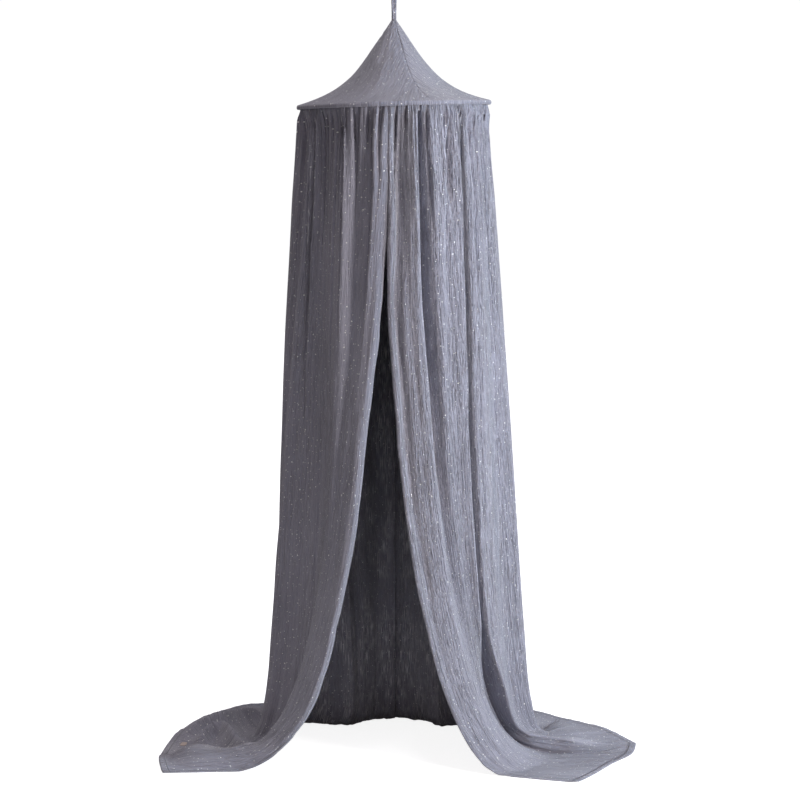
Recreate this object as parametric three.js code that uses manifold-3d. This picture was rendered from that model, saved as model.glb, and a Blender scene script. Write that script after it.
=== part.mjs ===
// A hanging bed canopy of crinkled cotton gauze: a tent-shaped crown sewn over a hoop, with a gathered skirt
// that opens at the front and trails on the floor to both sides. It hangs from a fabric loop at its apex.
// Millimetres, +Z up. The origin is inside the top of the hanging loop, and the opening faces -Y.
import * as THREE from "three";
import Module from "manifold-3d";
import { mergeVertices } from "three/addons/utils/BufferGeometryUtils.js";

const wasm = await Module();
wasm.setup();

// Overall sizes
const loopHeight = 106; // from the crown's apex up to the inside of the loop's top
const crownHeight = 220; // from the hoop's centre line up to the apex
const hoopHeight = 1724; // from the floor up to the hoop's centre line
const hoopRadius = 250; // to the centre line of the hoop's rod
const hoopTilt = 1.6; // degrees that the hoop hangs out of level, lower on the left
const skirtLength = 2010; // cloth from the heading to the hem
const clearance = 0.3; // between pieces that touch
const overrun = 5; // how far a cutting solid runs past what it cuts

// Hoop: two half rings of rod, joined end to end in two sleeves
const rodRadius = 2.5;
const ferruleBoreRadius = rodRadius + clearance;
const ferruleWall = 0.7;
const ferruleRadius = ferruleBoreRadius + ferruleWall;
const ferruleLength = 32;
const rodEndGap = 0.8; // between the two rod ends inside a sleeve

// Casing: one strip of cloth folded round the hoop, its two edges laid together as a seam flange
const casingPlay = 0.9; // between a sleeve and the casing round it
const casingChannelRadius = ferruleRadius + casingPlay;
const casingThickness = 1;
const casingRadius = casingChannelRadius + casingThickness;
const flangeWidth = 6.5; // the seam flange, measured inwards from the channel
const flangeDrop = 1.3; // from the hoop's centre line down to the flange's top
const flangePlyGap = 0.4;

// Crown: three gores of cloth between the apex and the casing
const crownThickness = 1.5;
const neckBoreRadius = 5.1; // the hole at the apex that the loop's root passes through
const crownBellyShare = 0.6; // how much of the widening is an even slope
const crownFlarePower = 6.5; // how late the rest of the widening comes
const goreSeamAzimuths = [-97.5, 22.5, 142.5]; // degrees from the front, towards +X
const goreNames = ["crown_gore_front", "crown_gore_right", "crown_gore_back"];
const goreSeamGap = 0.4;

// Apex patch: a cone of doubled cloth inside the apex, which bears on the loop's knot
const patchThickness = 1.5;
const patchHeight = 26;

// Hanging loop: a narrow sewn tube of cloth, doubled, with a knot inside the crown
const loopCordRadius = 2.75;
const loopEyeRadius = 11; // of the centre line over the top
const loopRootRadius = 4.8;
const loopRootRise = 3; // how far the root stands out of the apex
const loopPinch = 2.2; // how late the legs spread: 1 is straight
const knotRadius = 11;
const knotHeight = 15;

// Heading tape: holds the skirt's gathers to length, inside the heading
const tapeWidth = 14;
const tapeThickness = 1.2;
const tapeInset = 2.2; // from the middle of the gathered cloth in to the tape

// Skirt: two widths of cloth, seamed at the centre back and open at the front
const skirtThickness = 3;
const headingInset = 7.5; // from the middle of the hoop in to the middle of the cloth at the heading
const headingRadius = hoopRadius - headingInset;
const openingOffset = -16.5; // where the front opening starts, along X
const openingGap = 4; // between the two front edges at the heading
const backSeamGap = 0.6;
const foldDepth = 19; // of a full fold below the gathers, from its middle
const foldDeepening = 0.3; // how much deeper the folds are at the floor, as a share
const gatherShare = 0.04; // how much of a fold is left where it is gathered
const gatherLength = 340; // over which the gathers open into folds
const foldRise = 44; // of a full fold on the floor
const foldFlatten = 230; // over which the folds on the floor die away
const ridgeBreadth = 1.25; // above 1, ridges are broad and valleys narrow
const floorSink = 0.5; // how far the resting cloth is cut flat
const pathStep = 4; // along the cloth
const settleHeight = 50; // over which the cloth turns on to the floor, times the shares below

// How the cloth hangs at nine places from the front edge to the centre back: the way it spreads as it hangs
// and the way it is laid on the floor (degrees from sideways, towards the back), its slope (degrees), the
// shares of the height over which it turns on to the floor, how suddenly it turns, and how far it runs out
// on the floor as a share of its length there.
const hangRight = {
  spread: [-14, -4, 20, 12, 8, 30, 60, 78, 90],
  lay: [-15.1, 3.6, 5.8, 28.2, 67.9, 76.5, 75, 84, 90],
  slope: [-1.2, 0.6, 2.1, 3.15, 3.75, 1.2, -3.9, -3.7, -3.1],
  settleShares: [1.76, 1.72, 1.44, 1, 0.76, 0.72, 0.68, 0.68, 0.68],
  suddenness: [0.45, 0.52, 0.64, 0.74, 0.8, 0.83, 0.85, 0.85, 0.85],
  runShares: [0.947, 0.919, 1.093, 0.937, 0.73, 0.726, 0.8, 0.83, 0.85],
};
const hangLeft = {
  spread: [-6, -4, 0, 5, 12, 34, 60, 78, 90],
  lay: [-3.2, 19.8, 36.8, 48, 63.7, 72.5, 78, 84, 90],
  slope: [1, 1.7, 2.3, 2.85, 2.95, 0.6, -3.5, -3.5, -3.1],
  settleShares: [2.22, 2, 1.2, 0.84, 0.76, 0.72, 0.68, 0.68, 0.68],
  suddenness: [0.52, 0.56, 0.68, 0.78, 0.8, 0.83, 0.85, 0.85, 0.85],
  runShares: [1.054, 0.959, 1.121, 1.039, 0.948, 0.859, 0.8, 0.83, 0.85],
};

// Folds from the front edge to the centre back, ridges and valleys in turn. Each row has its place along
// the heading and along the floor, as shares of the way round; its offset out of the canopy in the upper
// and in the lower half, as shares of foldDepth; and its height on the floor, as a share of foldRise.
const foldSharesRight = [
  [0, 0, 0.1, 0, 0],
  [0.03, 0.03, -0.25, -0.2, 0],
  [0.08, 0.095, 0.7, 0.4, 0.03],
  [0.105, 0.14, -1.1, -0.5, 0],
  [0.165, 0.18, 0.5, 0.3, 0.03],
  [0.228, 0.212, 0.95, 1.1, 0.04],
  [0.25, 0.24, -1.3, -2.2, 0],
  [0.3, 0.28, 0.7, 0.9, 0.95],
  [0.39, 0.37, -0.6, -0.4, 0.3],
  [0.465, 0.46, 0.5, 0.8, 0.5],
  [0.53, 0.53, -1.1, -1.4, 0.1],
  [0.61, 0.61, 0.9, 0.9, 0.4],
  [0.69, 0.69, -1.2, -0.8, 0.1],
  [0.77, 0.77, 1.2, 0.2, 0.1],
  [0.85, 0.85, -1.1, -0.2, 0.1],
  [0.925, 0.925, 1.1, 0.15, 0.08],
  [1, 1, -0.8, -0.3, 0],
];
const foldSharesLeft = [
  [0, 0, 0, -0.4, 0],
  [0.045, 0.035, 0.5, 0.25, 0.03],
  [0.1, 0.075, -0.9, -0.3, 0],
  [0.139, 0.11, 0.85, 0.6, 0.1],
  [0.235, 0.2, -1.3, -0.6, 0],
  [0.27, 0.3, -0.6, -0.5, 0.6],
  [0.285, 0.36, 0, 0, 0.2],
  [0.305, 0.43, 0.95, 0.9, 0.9],
  [0.36, 0.5, -1.1, -0.8, 0.15],
  [0.43, 0.56, 0.6, 0.9, 0.65],
  [0.5, 0.62, -1.1, -1.2, 0.1],
  [0.58, 0.68, 1.2, 0.8, 0.4],
  [0.665, 0.74, -1.2, -0.5, 0.1],
  [0.75, 0.8, 1.2, 0.2, 0.1],
  [0.835, 0.865, -1.1, -0.2, 0.1],
  [0.92, 0.93, 1.1, 0.15, 0.08],
  [1, 1, -0.8, -0.3, 0],
];

// How far each front edge hangs outside the line of its folds, at nine places down the cloth, as shares of
// foldDepth, and how far round from the edge this reaches.
const edgeSharesRight = [0.04, -0.1, -0.66, -0.42, -0.21, 0.18, 0.47, 0.45, 0];
const edgeSharesLeft = [-0.1, -0.66, -0.63, -0.21, -0.2, -0.16, -0.47, -0.32, 0];
const edgeReachShare = 0.1;
const columnsPerFoldSide = 3;
const skirtRowShares = [0, 0.035, 0.1, 0.24, 0.43, 0.6, 0.73, 0.8, 0.845, 0.885, 0.935, 1];

// Blank label: a small plain leather tab sewn on near the left front corner
const labelLength = 30;
const labelWidth = 16;
const labelThickness = 1.2;
const labelCornerRadius = 6;
const labelColumn = 12; // which column of the cloth it is sewn to, counted from the front edge
const labelHemShare = 0.7; // of the way from the last row of cloth but one to the hem
const labelTurn = 75; // degrees, its long side from left-right towards front-back

// Facet counts
const ringSegments = 48;
const casingArcSegments = 12;
const goreSegments = 16;
const goreRows = 10;
const rodSides = 6;
const rodSegments = 30;
const ferruleSides = 10;
const ferruleSegments = 3;
const loopSides = 8;
const loopLegSteps = 9;
const loopEyeSteps = 10;
const rootSides = 16;

const apexZ = -loopHeight;
const hoopZ = apexZ - crownHeight;
const floorZ = hoopZ - hoopHeight;
const headingZ = hoopZ - flangeDrop - 2 * casingThickness - flangePlyGap - clearance;
const radians = THREE.MathUtils.degToRad;

// A closed surface from triangles over shared points.
function surface(points, faces) {
  const geometry = new THREE.BufferGeometry();
  geometry.setAttribute("position", new THREE.Float32BufferAttribute(points.flatMap((p) => p.toArray()), 3));
  geometry.setIndex(faces);
  geometry.computeVertexNormals();
  return geometry;
}

// Sheet with a thickness: two grids of points, outer and inner, joined round their rim.
// Rows run down the sheet and columns across it, so that row by column faces outwards on the outer grid.
function shell(outer, inner) {
  const rows = outer.length;
  const columns = outer[0].length;
  const points = [...outer.flat(), ...inner.flat()];
  const at = (side, row, column) => (side * rows + row) * columns + column;
  const faces = [];
  const quad = (a, b, c, d) => faces.push(a, b, c, a, c, d);
  for (let i = 0; i + 1 < rows; i++) {
    for (let j = 0; j + 1 < columns; j++) {
      quad(at(0, i, j), at(0, i + 1, j), at(0, i + 1, j + 1), at(0, i, j + 1));
      quad(at(1, i, j), at(1, i, j + 1), at(1, i + 1, j + 1), at(1, i + 1, j));
    }
  }
  for (let i = 0; i + 1 < rows; i++) {
    quad(at(0, i, 0), at(1, i, 0), at(1, i + 1, 0), at(0, i + 1, 0));
    quad(at(0, i, columns - 1), at(0, i + 1, columns - 1), at(1, i + 1, columns - 1), at(1, i, columns - 1));
  }
  for (let j = 0; j + 1 < columns; j++) {
    quad(at(0, 0, j), at(0, 0, j + 1), at(1, 0, j + 1), at(1, 0, j));
    quad(at(0, rows - 1, j), at(1, rows - 1, j), at(1, rows - 1, j + 1), at(0, rows - 1, j + 1));
  }
  return surface(points, faces);
}

// Tube along rings of points, each ring in order. A second set of rings, if given, is its bore.
function tube(rings, boreRings = null) {
  const sides = rings[0].length;
  const all = boreRings ? [...rings, ...[...boreRings].reverse()] : rings;
  const points = all.flat();
  const faces = [];
  const last = boreRings ? all.length : all.length - 1;
  for (let i = 0; i < last; i++) {
    const next = (i + 1) % all.length;
    for (let k = 0; k < sides; k++) {
      const turn = (k + 1) % sides;
      const [a, b] = [i * sides + k, i * sides + turn];
      const [c, d] = [next * sides + turn, next * sides + k];
      faces.push(a, b, c, a, c, d);
    }
  }
  if (!boreRings) {
    for (let k = 1; k + 1 < sides; k++) {
      const end = (all.length - 1) * sides;
      faces.push(0, k + 1, k, end, end + k, end + k + 1);
    }
  }
  return surface(points, faces);
}

// A geometry as a solid that can be joined and cut, and back again.
function solid(geometry) {
  const bare = new THREE.BufferGeometry();
  const source = geometry.index ? geometry.toNonIndexed() : geometry;
  bare.setAttribute("position", source.getAttribute("position").clone());
  const merged = mergeVertices(bare, 1e-4);
  return new wasm.Manifold(
    new wasm.Mesh({
      numProp: 3,
      vertProperties: merged.attributes.position.array,
      triVerts: new Uint32Array(merged.index.array),
    }),
  );
}

function geometryOf(manifold) {
  const mesh = manifold.getMesh();
  const geometry = new THREE.BufferGeometry();
  geometry.setAttribute("position", new THREE.BufferAttribute(mesh.vertProperties, 3));
  geometry.setIndex(new THREE.BufferAttribute(mesh.triVerts, 1));
  geometry.computeVertexNormals();
  return geometry;
}

// A point at a distance from the canopy's axis. Azimuth 0 is the front, and 90 degrees is +X.
function around(radius, azimuth, z) {
  return new THREE.Vector3(radius * Math.sin(azimuth), -radius * Math.cos(azimuth), z);
}

// A ring of revolution about Z from an outline of [radius, z] points in anticlockwise order.
function revolved(outline, segments) {
  const closed = [...outline, outline[0]].map(([r, z]) => new THREE.Vector2(r, z));
  const geometry = new THREE.LatheGeometry(closed, segments);
  geometry.rotateX(Math.PI / 2);
  return geometry;
}

// The value at share t of evenly spaced values, on a smooth curve through them.
function smoothAlong(values, t) {
  const last = values.length - 1;
  const place = Math.min(Math.max(t, 0), 1) * last;
  const i = Math.min(Math.floor(place), last - 1);
  const f = place - i;
  const [a, b] = [values[i], values[i + 1]];
  const slopeA = i > 0 ? (b - values[i - 1]) / 2 : b - a;
  const slopeB = i + 2 <= last ? (values[i + 2] - a) / 2 : b - a;
  const h = 2 * f ** 3 - 3 * f ** 2 + 1;
  return h * a + (1 - h) * b + (f ** 3 - 2 * f ** 2 + f) * slopeA + (f ** 3 - f ** 2) * slopeB;
}

const smoothStep = (t) => THREE.MathUtils.smoothstep(t, 0, 1);

// The crown's profile: the outer radius of the cloth at a share of the way down from the apex.
const crownTopRadius = neckBoreRadius + crownThickness;
const crownFootRadius = hoopRadius + casingRadius * 0.35;
function crownRadius(share) {
  const widening = crownBellyShare * share + (1 - crownBellyShare) * share ** crownFlarePower;
  return crownTopRadius + (crownFootRadius - crownTopRadius) * widening;
}

const crownFootRise = Math.sqrt(casingRadius ** 2 - (crownFootRadius - hoopRadius) ** 2);
const crownFootZ = hoopZ + crownFootRise + crownThickness + clearance;
const crownZ = (share) => apexZ + (crownFootZ - apexZ) * share;

// The crown's outer surface and the direction out of it, in the radial plane.
function crownPlace(share) {
  const step = 0.002;
  const [above, below] = [Math.max(share - step, 0), Math.min(share + step, 1)];
  const dr = crownRadius(below) - crownRadius(above);
  const dz = crownZ(below) - crownZ(above);
  const length = Math.hypot(dr, dz);
  return { r: crownRadius(share), z: crownZ(share), outR: -dz / length, outZ: dr / length };
}

function crownGore(from, to) {
  const outer = [];
  const inner = [];
  for (let i = 0; i <= goreRows; i++) {
    const place = crownPlace(i / goreRows);
    const innerR = i === 0 ? neckBoreRadius : place.r - crownThickness * place.outR;
    const innerZ = i === 0 ? place.z : place.z - crownThickness * place.outZ;
    const row = { outer: [], inner: [] };
    for (let j = 0; j <= goreSegments; j++) {
      const half = goreSeamGap / 2;
      const t = j / goreSegments;
      const angle = (radius) => {
        const margin = Math.asin(half / radius);
        return from + margin + (to - from - 2 * margin) * t;
      };
      row.outer.push(around(place.r, angle(place.r), place.z));
      row.inner.push(around(innerR, angle(innerR), innerZ));
    }
    outer.push(row.outer);
    inner.push(row.inner);
  }
  return shell(outer, inner);
}

// A conical washer that nests under the gores at the apex.
function apexPatch() {
  const share = patchHeight / (apexZ - crownFootZ);
  const upper = [];
  const lower = [];
  const steps = 3;
  for (let i = 0; i <= steps; i++) {
    const place = crownPlace(share * (0.3 + (0.7 * i) / steps));
    const inset = crownThickness + clearance;
    const deep = inset + patchThickness;
    upper.push([place.r - inset * place.outR, place.z - inset * place.outZ]);
    lower.push([place.r - deep * place.outR, place.z - deep * place.outZ]);
  }
  return revolved([...upper, ...lower.reverse()].reverse(), rootSides);
}

// The casing's section: round the rod, and both edges out to the flange.
function casingOutline() {
  const at = (x, z) => [hoopRadius + x, hoopZ + z];
  const cross = (radius, z) => Math.atan2(z, -Math.sqrt(radius ** 2 - z ** 2));
  const upperTop = -flangeDrop;
  const upperBottom = upperTop - casingThickness;
  const lowerTop = upperBottom - flangePlyGap;
  const lowerBottom = lowerTop - casingThickness;
  const edge = -casingChannelRadius - flangeWidth;
  const outline = [at(edge, upperTop)];
  const arc = (radius, from, to) => {
    for (let i = 0; i <= casingArcSegments; i++) {
      const angle = from + ((to - from) * i) / casingArcSegments;
      outline.push(at(radius * Math.cos(angle), radius * Math.sin(angle)));
    }
  };
  const fullTurn = 2 * Math.PI;
  arc(casingRadius, cross(casingRadius, upperTop) + fullTurn, cross(casingRadius, lowerBottom));
  outline.push(at(edge, lowerBottom), at(edge, lowerTop));
  arc(casingChannelRadius, cross(casingChannelRadius, lowerTop), cross(casingChannelRadius, upperBottom) + fullTurn);
  outline.push(at(edge, upperBottom));
  return outline.reverse();
}

// Rings of a rod or sleeve that follows the hoop between two azimuths.
function hoopRings(radius, from, to, segments, sides) {
  const rings = [];
  for (let i = 0; i <= segments; i++) {
    const azimuth = from + ((to - from) * i) / segments;
    const ring = [];
    for (let k = 0; k < sides; k++) {
      const a = (2 * Math.PI * k) / sides;
      ring.push(around(hoopRadius + radius * Math.cos(a), azimuth, hoopZ - radius * Math.sin(a)));
    }
    rings.push(ring);
  }
  return rings;
}

function hoopRod(side) {
  const endAngle = rodEndGap / 2 / hoopRadius;
  const from = side > 0 ? endAngle : -Math.PI + endAngle;
  return tube(hoopRings(rodRadius, from, from + Math.PI - 2 * endAngle, rodSegments, rodSides));
}

function hoopFerrule(azimuth) {
  const half = ferruleLength / 2 / hoopRadius;
  const rings = (radius) => hoopRings(radius, azimuth - half, azimuth + half, ferruleSegments, ferruleSides);
  return tube(rings(ferruleRadius), rings(ferruleBoreRadius));
}

// The loop's centre line: up one leg, over the top and down the other.
function loopPath() {
  const eyeZ = -loopEyeRadius - loopCordRadius + 2 * loopCordRadius;
  const rootZ = apexZ + loopRootRise;
  const rootSpread = loopRootRadius - loopCordRadius;
  const leg = [];
  for (let i = 0; i < loopLegSteps; i++) {
    const t = i / loopLegSteps;
    leg.push([rootSpread + (loopEyeRadius - rootSpread) * t ** loopPinch, rootZ + (eyeZ - rootZ) * t]);
  }
  const top = [];
  for (let i = 0; i <= loopEyeSteps; i++) {
    const angle = (Math.PI * i) / loopEyeSteps;
    top.push([loopEyeRadius * Math.cos(angle), eyeZ + loopEyeRadius * Math.sin(angle)]);
  }
  const back = leg.map(([x, z]) => [-x, z]).reverse();
  return [...leg, ...top, ...back].map(([x, z]) => new THREE.Vector3(x, 0, z));
}

function hangingLoop() {
  const path = loopPath();
  const startDip = new THREE.Vector3(0, 0, -loopRootRise - clearance);
  path[0].add(startDip);
  path[path.length - 1].add(startDip);
  const rings = path.map((point, i) => {
    const ahead = path[Math.min(i + 1, path.length - 1)];
    const behind = path[Math.max(i - 1, 0)];
    const along = ahead.clone().sub(behind).normalize();
    const depth = new THREE.Vector3(0, 1, 0);
    const across = new THREE.Vector3().crossVectors(depth, along);
    const ring = [];
    for (let k = 0; k < loopSides; k++) {
      const a = (2 * Math.PI * k) / loopSides;
      const reach = across.clone().multiplyScalar(loopCordRadius * Math.cos(a));
      ring.push(point.clone().add(reach).addScaledVector(depth, loopCordRadius * Math.sin(a)));
    }
    return ring;
  });
  // The root goes down through the neck, and the knot bears on the patch from below.
  const neckZ = apexZ - patchHeight * 0.3;
  const knotTopZ = neckZ - clearance * 4;
  const root = revolved(
    [
      [0, apexZ + loopRootRise],
      [loopRootRadius, apexZ + loopRootRise],
      [loopRootRadius, knotTopZ],
      [knotRadius * 0.75, knotTopZ - knotHeight * 0.25],
      [knotRadius, knotTopZ - knotHeight * 0.55],
      [knotRadius * 0.7, knotTopZ - knotHeight * 0.9],
      [0, knotTopZ - knotHeight],
    ].reverse(),
    rootSides,
  );
  return geometryOf(solid(tube(rings)).add(solid(root)));
}

function headingTape() {
  const outerRadius = headingRadius - skirtThickness / 2 - tapeInset;
  const innerRadius = outerRadius - tapeThickness;
  const low = headingZ - tapeWidth;
  return revolved(
    [
      [innerRadius, low],
      [outerRadius, low],
      [outerRadius, headingZ],
      [innerRadius, headingZ],
    ],
    ringSegments,
  );
}

// How the cloth falls at a share of the way round: its shift sideways and back, its height above the floor
// and its tilt from upright, at a distance down the cloth.
const fallTables = new Map();
function fall(hang, share, length) {
  const key = `${hang === hangLeft}:${share.toFixed(4)}`;
  if (!fallTables.has(key)) {
    const spread = radians(smoothAlong(hang.spread, share));
    const lay = radians(smoothAlong(hang.lay, share));
    const slope = radians(smoothAlong(hang.slope, share));
    const settle = settleHeight * smoothAlong(hang.settleShares, share);
    const suddenness = smoothAlong(hang.suddenness, share);
    const run = smoothAlong(hang.runShares, share);
    const table = [];
    let aside = 0;
    let back = 0;
    let height = hoopHeight + (headingZ - hoopZ);
    for (let l = 0; l <= skirtLength + pathStep; l += pathStep) {
      const turn = Math.exp(-((Math.max(height, 0) / settle) ** suddenness));
      const tilt = slope + (Math.PI / 2 - slope) * turn;
      table.push([aside, back, height, tilt]);
      const step = pathStep * Math.sin(tilt) * (1 + (run - 1) * turn);
      const way = spread + (lay - spread) * turn;
      aside += step * Math.cos(way);
      back += step * Math.sin(way);
      height -= pathStep * Math.cos(tilt);
    }
    fallTables.set(key, table);
  }
  const table = fallTables.get(key);
  const place = length / pathStep;
  const i = Math.min(Math.floor(place), table.length - 2);
  return table[i].map((value, k) => value + (table[i + 1][k] - value) * (place - i));
}

// The middle of the skirt's cloth. Side is -1 for the left and 1 for the right, fold counts along the fold
// table from the front edge, and length runs down the cloth.
function skirtPoint(side, fold, length) {
  const [hang, folds] = side > 0 ? [hangRight, foldSharesRight] : [hangLeft, foldSharesLeft];
  const edge = side > 0 ? edgeSharesRight : edgeSharesLeft;
  const i = Math.min(Math.floor(fold), folds.length - 2);
  const f = fold - i;
  const [a, b] = [folds[i], folds[i + 1]];
  const down = smoothStep(length / hoopHeight);
  const placeOf = (row) => row[0] + (row[1] - row[0]) * down;
  const depthOf = (row) => row[2] + (row[3] - row[2]) * down;
  const share = placeOf(a) + (placeOf(b) - placeOf(a)) * f;
  const easing = depthOf(a) > depthOf(b) ? f ** ridgeBreadth : 1 - (1 - f) ** ridgeBreadth;
  const blend = (1 - Math.cos(Math.PI * easing)) / 2;
  const depth = depthOf(a) + (depthOf(b) - depthOf(a)) * blend;
  const rise = a[4] + (b[4] - a[4]) * blend;
  const [aside, back, height, tilt] = fall(hang, share, length);
  const opened = gatherShare + (1 - gatherShare) * smoothStep(length / gatherLength);
  const deepened = 1 + foldDeepening * (length / hoopHeight);
  const lying = Math.sin(tilt) ** 2;
  const flattened = Math.exp(-((Math.max(length - hoopHeight, 0) / foldFlatten) ** 2));
  const offset = foldDepth * depth * opened * deepened * (1 - lying);
  const raised = foldRise * rise * lying * (0.25 + 0.75 * flattened);
  const frontMargin = side * openingOffset + openingGap / 2;
  const frontAzimuth = Math.asin(frontMargin / headingRadius);
  const backAzimuth = Math.PI - Math.asin(backSeamGap / 2 / headingRadius);
  const azimuth = frontAzimuth + (backAzimuth - frontAzimuth) * share;
  const nearEdge = Math.exp(-((share / edgeReachShare) ** 2));
  const edgeShift = foldDepth * smoothAlong(edge, length / skirtLength) * nearEdge;
  const x = (headingRadius + offset) * Math.sin(azimuth) + aside + edgeShift;
  const y = -(headingRadius + offset) * Math.cos(azimuth) + back;
  const z = floorZ + height + raised + (skirtThickness / 2 - floorSink) * lying;
  return new THREE.Vector3(side * x, y, z);
}

// The direction out of the skirt's cloth at a place.
function skirtNormal(side, fold, length, last) {
  const [foldStep, lengthStep] = [0.02, 2];
  const foldSpan = [Math.max(fold - foldStep, 0), Math.min(fold + foldStep, last)];
  const lengthSpan = [Math.max(length - lengthStep, 0), Math.min(length + lengthStep, skirtLength)];
  const across = skirtPoint(side, foldSpan[1], length).sub(skirtPoint(side, foldSpan[0], length));
  const down = skirtPoint(side, fold, lengthSpan[1]).sub(skirtPoint(side, fold, lengthSpan[0]));
  return across.cross(down).multiplyScalar(-side).normalize();
}

function skirtPanel(side) {
  const last = (side > 0 ? foldSharesRight : foldSharesLeft).length - 1;
  const columns = last * columnsPerFoldSide;
  const outer = [];
  const inner = [];
  for (const share of skirtRowShares) {
    const row = { outer: [], inner: [] };
    for (let j = 0; j <= columns; j++) {
      const fold = (last * j) / columns;
      const length = skirtLength * share;
      const point = skirtPoint(side, fold, length);
      const normal = skirtNormal(side, fold, length, last);
      if (share === 0) normal.setZ(0).normalize();
      if (j === columns) normal.setX(0).normalize();
      row.outer.push(point.clone().addScaledVector(normal, skirtThickness / 2));
      row.inner.push(point.clone().addScaledVector(normal, -skirtThickness / 2));
    }
    if (side > 0) {
      outer.push(row.outer);
      inner.push(row.inner);
    } else {
      outer.push(row.outer.reverse());
      inner.push(row.inner.reverse());
    }
  }
  // What would dip below the floor is cut off flat.
  const reach = 2 * (skirtLength - hoopHeight + headingRadius) + overrun;
  const below = new THREE.BoxGeometry(2 * reach, 2 * reach, reach);
  below.translate(0, 0, floorZ - reach / 2);
  return geometryOf(solid(shell(outer, inner)).subtract(solid(below)));
}

function blankLabel() {
  const shape = new THREE.Shape();
  const [w, h, r] = [labelLength / 2, labelWidth / 2, labelCornerRadius];
  shape.moveTo(-w + r, -h);
  shape.lineTo(w - r, -h);
  shape.absarc(w - r, -h + r, r, -Math.PI / 2, 0);
  shape.absarc(w - r, h - r, r, 0, Math.PI / 2);
  shape.absarc(-w + r, h - r, r, Math.PI / 2, Math.PI);
  shape.absarc(-w + r, -h + r, r, Math.PI, 1.5 * Math.PI);
  return new THREE.ExtrudeGeometry(shape, { depth: labelThickness, bevelEnabled: false, curveSegments: 5 });
}

// The hoop hangs a little out of level, and the cloth above and below it follows.
function tilted(geometry) {
  const position = geometry.getAttribute("position");
  const slope = Math.tan(radians(hoopTilt));
  for (let i = 0; i < position.count; i++) {
    const z = position.getZ(i);
    const above = 1 - (z - hoopZ) / crownHeight;
    const below = 1 - (hoopZ - z) / hoopHeight;
    const share = smoothStep(z > hoopZ ? above : below);
    position.setZ(i, z + slope * share * position.getX(i));
  }
  return geometry;
}

const gauze = { color: 0x8b8a93, roughness: 0.95, metalness: 0 };
const canopy = new THREE.Group();

function piece(name, geometry, look) {
  const mesh = new THREE.Mesh(tilted(geometry), new THREE.MeshStandardMaterial(look));
  mesh.name = name;
  canopy.add(mesh);
  return mesh;
}

const tapeLook = { color: 0x96959c, roughness: 0.9, metalness: 0 };
const rodLook = { color: 0xdedcd6, roughness: 0.5, metalness: 0 };
const ferruleLook = { color: 0xb9a36a, roughness: 0.35, metalness: 0.9 };
const leatherLook = { color: 0xa0765b, roughness: 0.6, metalness: 0 };

piece("hanging_loop", hangingLoop(), gauze);
piece("apex_patch", apexPatch(), gauze);
goreNames.forEach((name, i) => {
  const from = radians(goreSeamAzimuths[i]);
  const next = goreSeamAzimuths[(i + 1) % goreNames.length];
  const to = radians(next > goreSeamAzimuths[i] ? next : next + 360);
  piece(name, crownGore(from, to), gauze);
});
piece("hoop_casing", revolved(casingOutline(), ringSegments), gauze);
piece("hoop_rod_left", hoopRod(-1), rodLook);
piece("hoop_rod_right", hoopRod(1), rodLook);
piece("hoop_ferrule_front", hoopFerrule(0), ferruleLook);
piece("hoop_ferrule_back", hoopFerrule(Math.PI), ferruleLook);
piece("heading_tape", headingTape(), tapeLook);
piece("skirt_panel_left", skirtPanel(-1), gauze);
piece("skirt_panel_right", skirtPanel(1), gauze);

// The label is sewn flat to the cloth between the last two rows of the left train.
const label = piece("blank_label", blankLabel(), leatherLook);
const [labelBack, labelSide, labelFront, labelHem] = [-2, -1].flatMap((row) =>
  [0, 1].map((next) => {
    const fold = (labelColumn + next) / columnsPerFoldSide;
    const length = skirtLength * skirtRowShares.at(row);
    const normal = skirtNormal(-1, fold, length, foldSharesLeft.length - 1);
    return skirtPoint(-1, fold, length).addScaledVector(normal, skirtThickness / 2);
  }),
);
const labelSeat = labelBack.clone().add(labelSide).lerp(labelFront.clone().add(labelHem), labelHemShare);
labelSeat.divideScalar(2);
const labelUp = labelHem.clone().sub(labelBack).cross(labelFront.clone().sub(labelSide)).normalize();
if (labelUp.z < 0) labelUp.negate();
const clothBulge = Math.abs(labelBack.clone().sub(labelSeat).dot(labelUp));
label.quaternion.setFromUnitVectors(new THREE.Vector3(0, 0, 1), labelUp);
label.rotateZ(radians(labelTurn));
label.position.copy(labelSeat.addScaledVector(labelUp, clothBulge + clearance));

export default canopy;
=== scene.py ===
import math

import bpy
import numpy as np
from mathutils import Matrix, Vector


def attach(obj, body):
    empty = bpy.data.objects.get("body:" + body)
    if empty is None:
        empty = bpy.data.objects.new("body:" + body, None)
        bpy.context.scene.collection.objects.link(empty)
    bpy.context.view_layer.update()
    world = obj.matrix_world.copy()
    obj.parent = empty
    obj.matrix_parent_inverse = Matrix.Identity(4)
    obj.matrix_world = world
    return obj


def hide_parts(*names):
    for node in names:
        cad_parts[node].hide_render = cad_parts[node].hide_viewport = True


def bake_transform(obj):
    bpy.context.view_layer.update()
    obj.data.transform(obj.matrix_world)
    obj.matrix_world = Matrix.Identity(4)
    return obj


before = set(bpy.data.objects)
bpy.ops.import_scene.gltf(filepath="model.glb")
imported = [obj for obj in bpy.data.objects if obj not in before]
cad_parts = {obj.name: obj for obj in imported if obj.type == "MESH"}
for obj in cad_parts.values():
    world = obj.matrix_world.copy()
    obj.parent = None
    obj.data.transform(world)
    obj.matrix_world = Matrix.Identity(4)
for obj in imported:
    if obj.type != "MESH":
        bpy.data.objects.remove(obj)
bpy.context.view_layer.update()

# The canopy's heights, counted from the hook's bearing point and so negative, and its main sizes, in metres.
apex_z = -0.106
hoop_z = -0.326
heading_z = -0.330
floor_z = -2.05
crown_height = 0.220
hoop_height = 1.724
hoop_radius = 0.250
hoop_tilt = math.radians(1.6)
heading_radius = 0.2425
skirt_length = 2.010
skirt_breadth = 1.22
opening_offset = -0.0165
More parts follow.
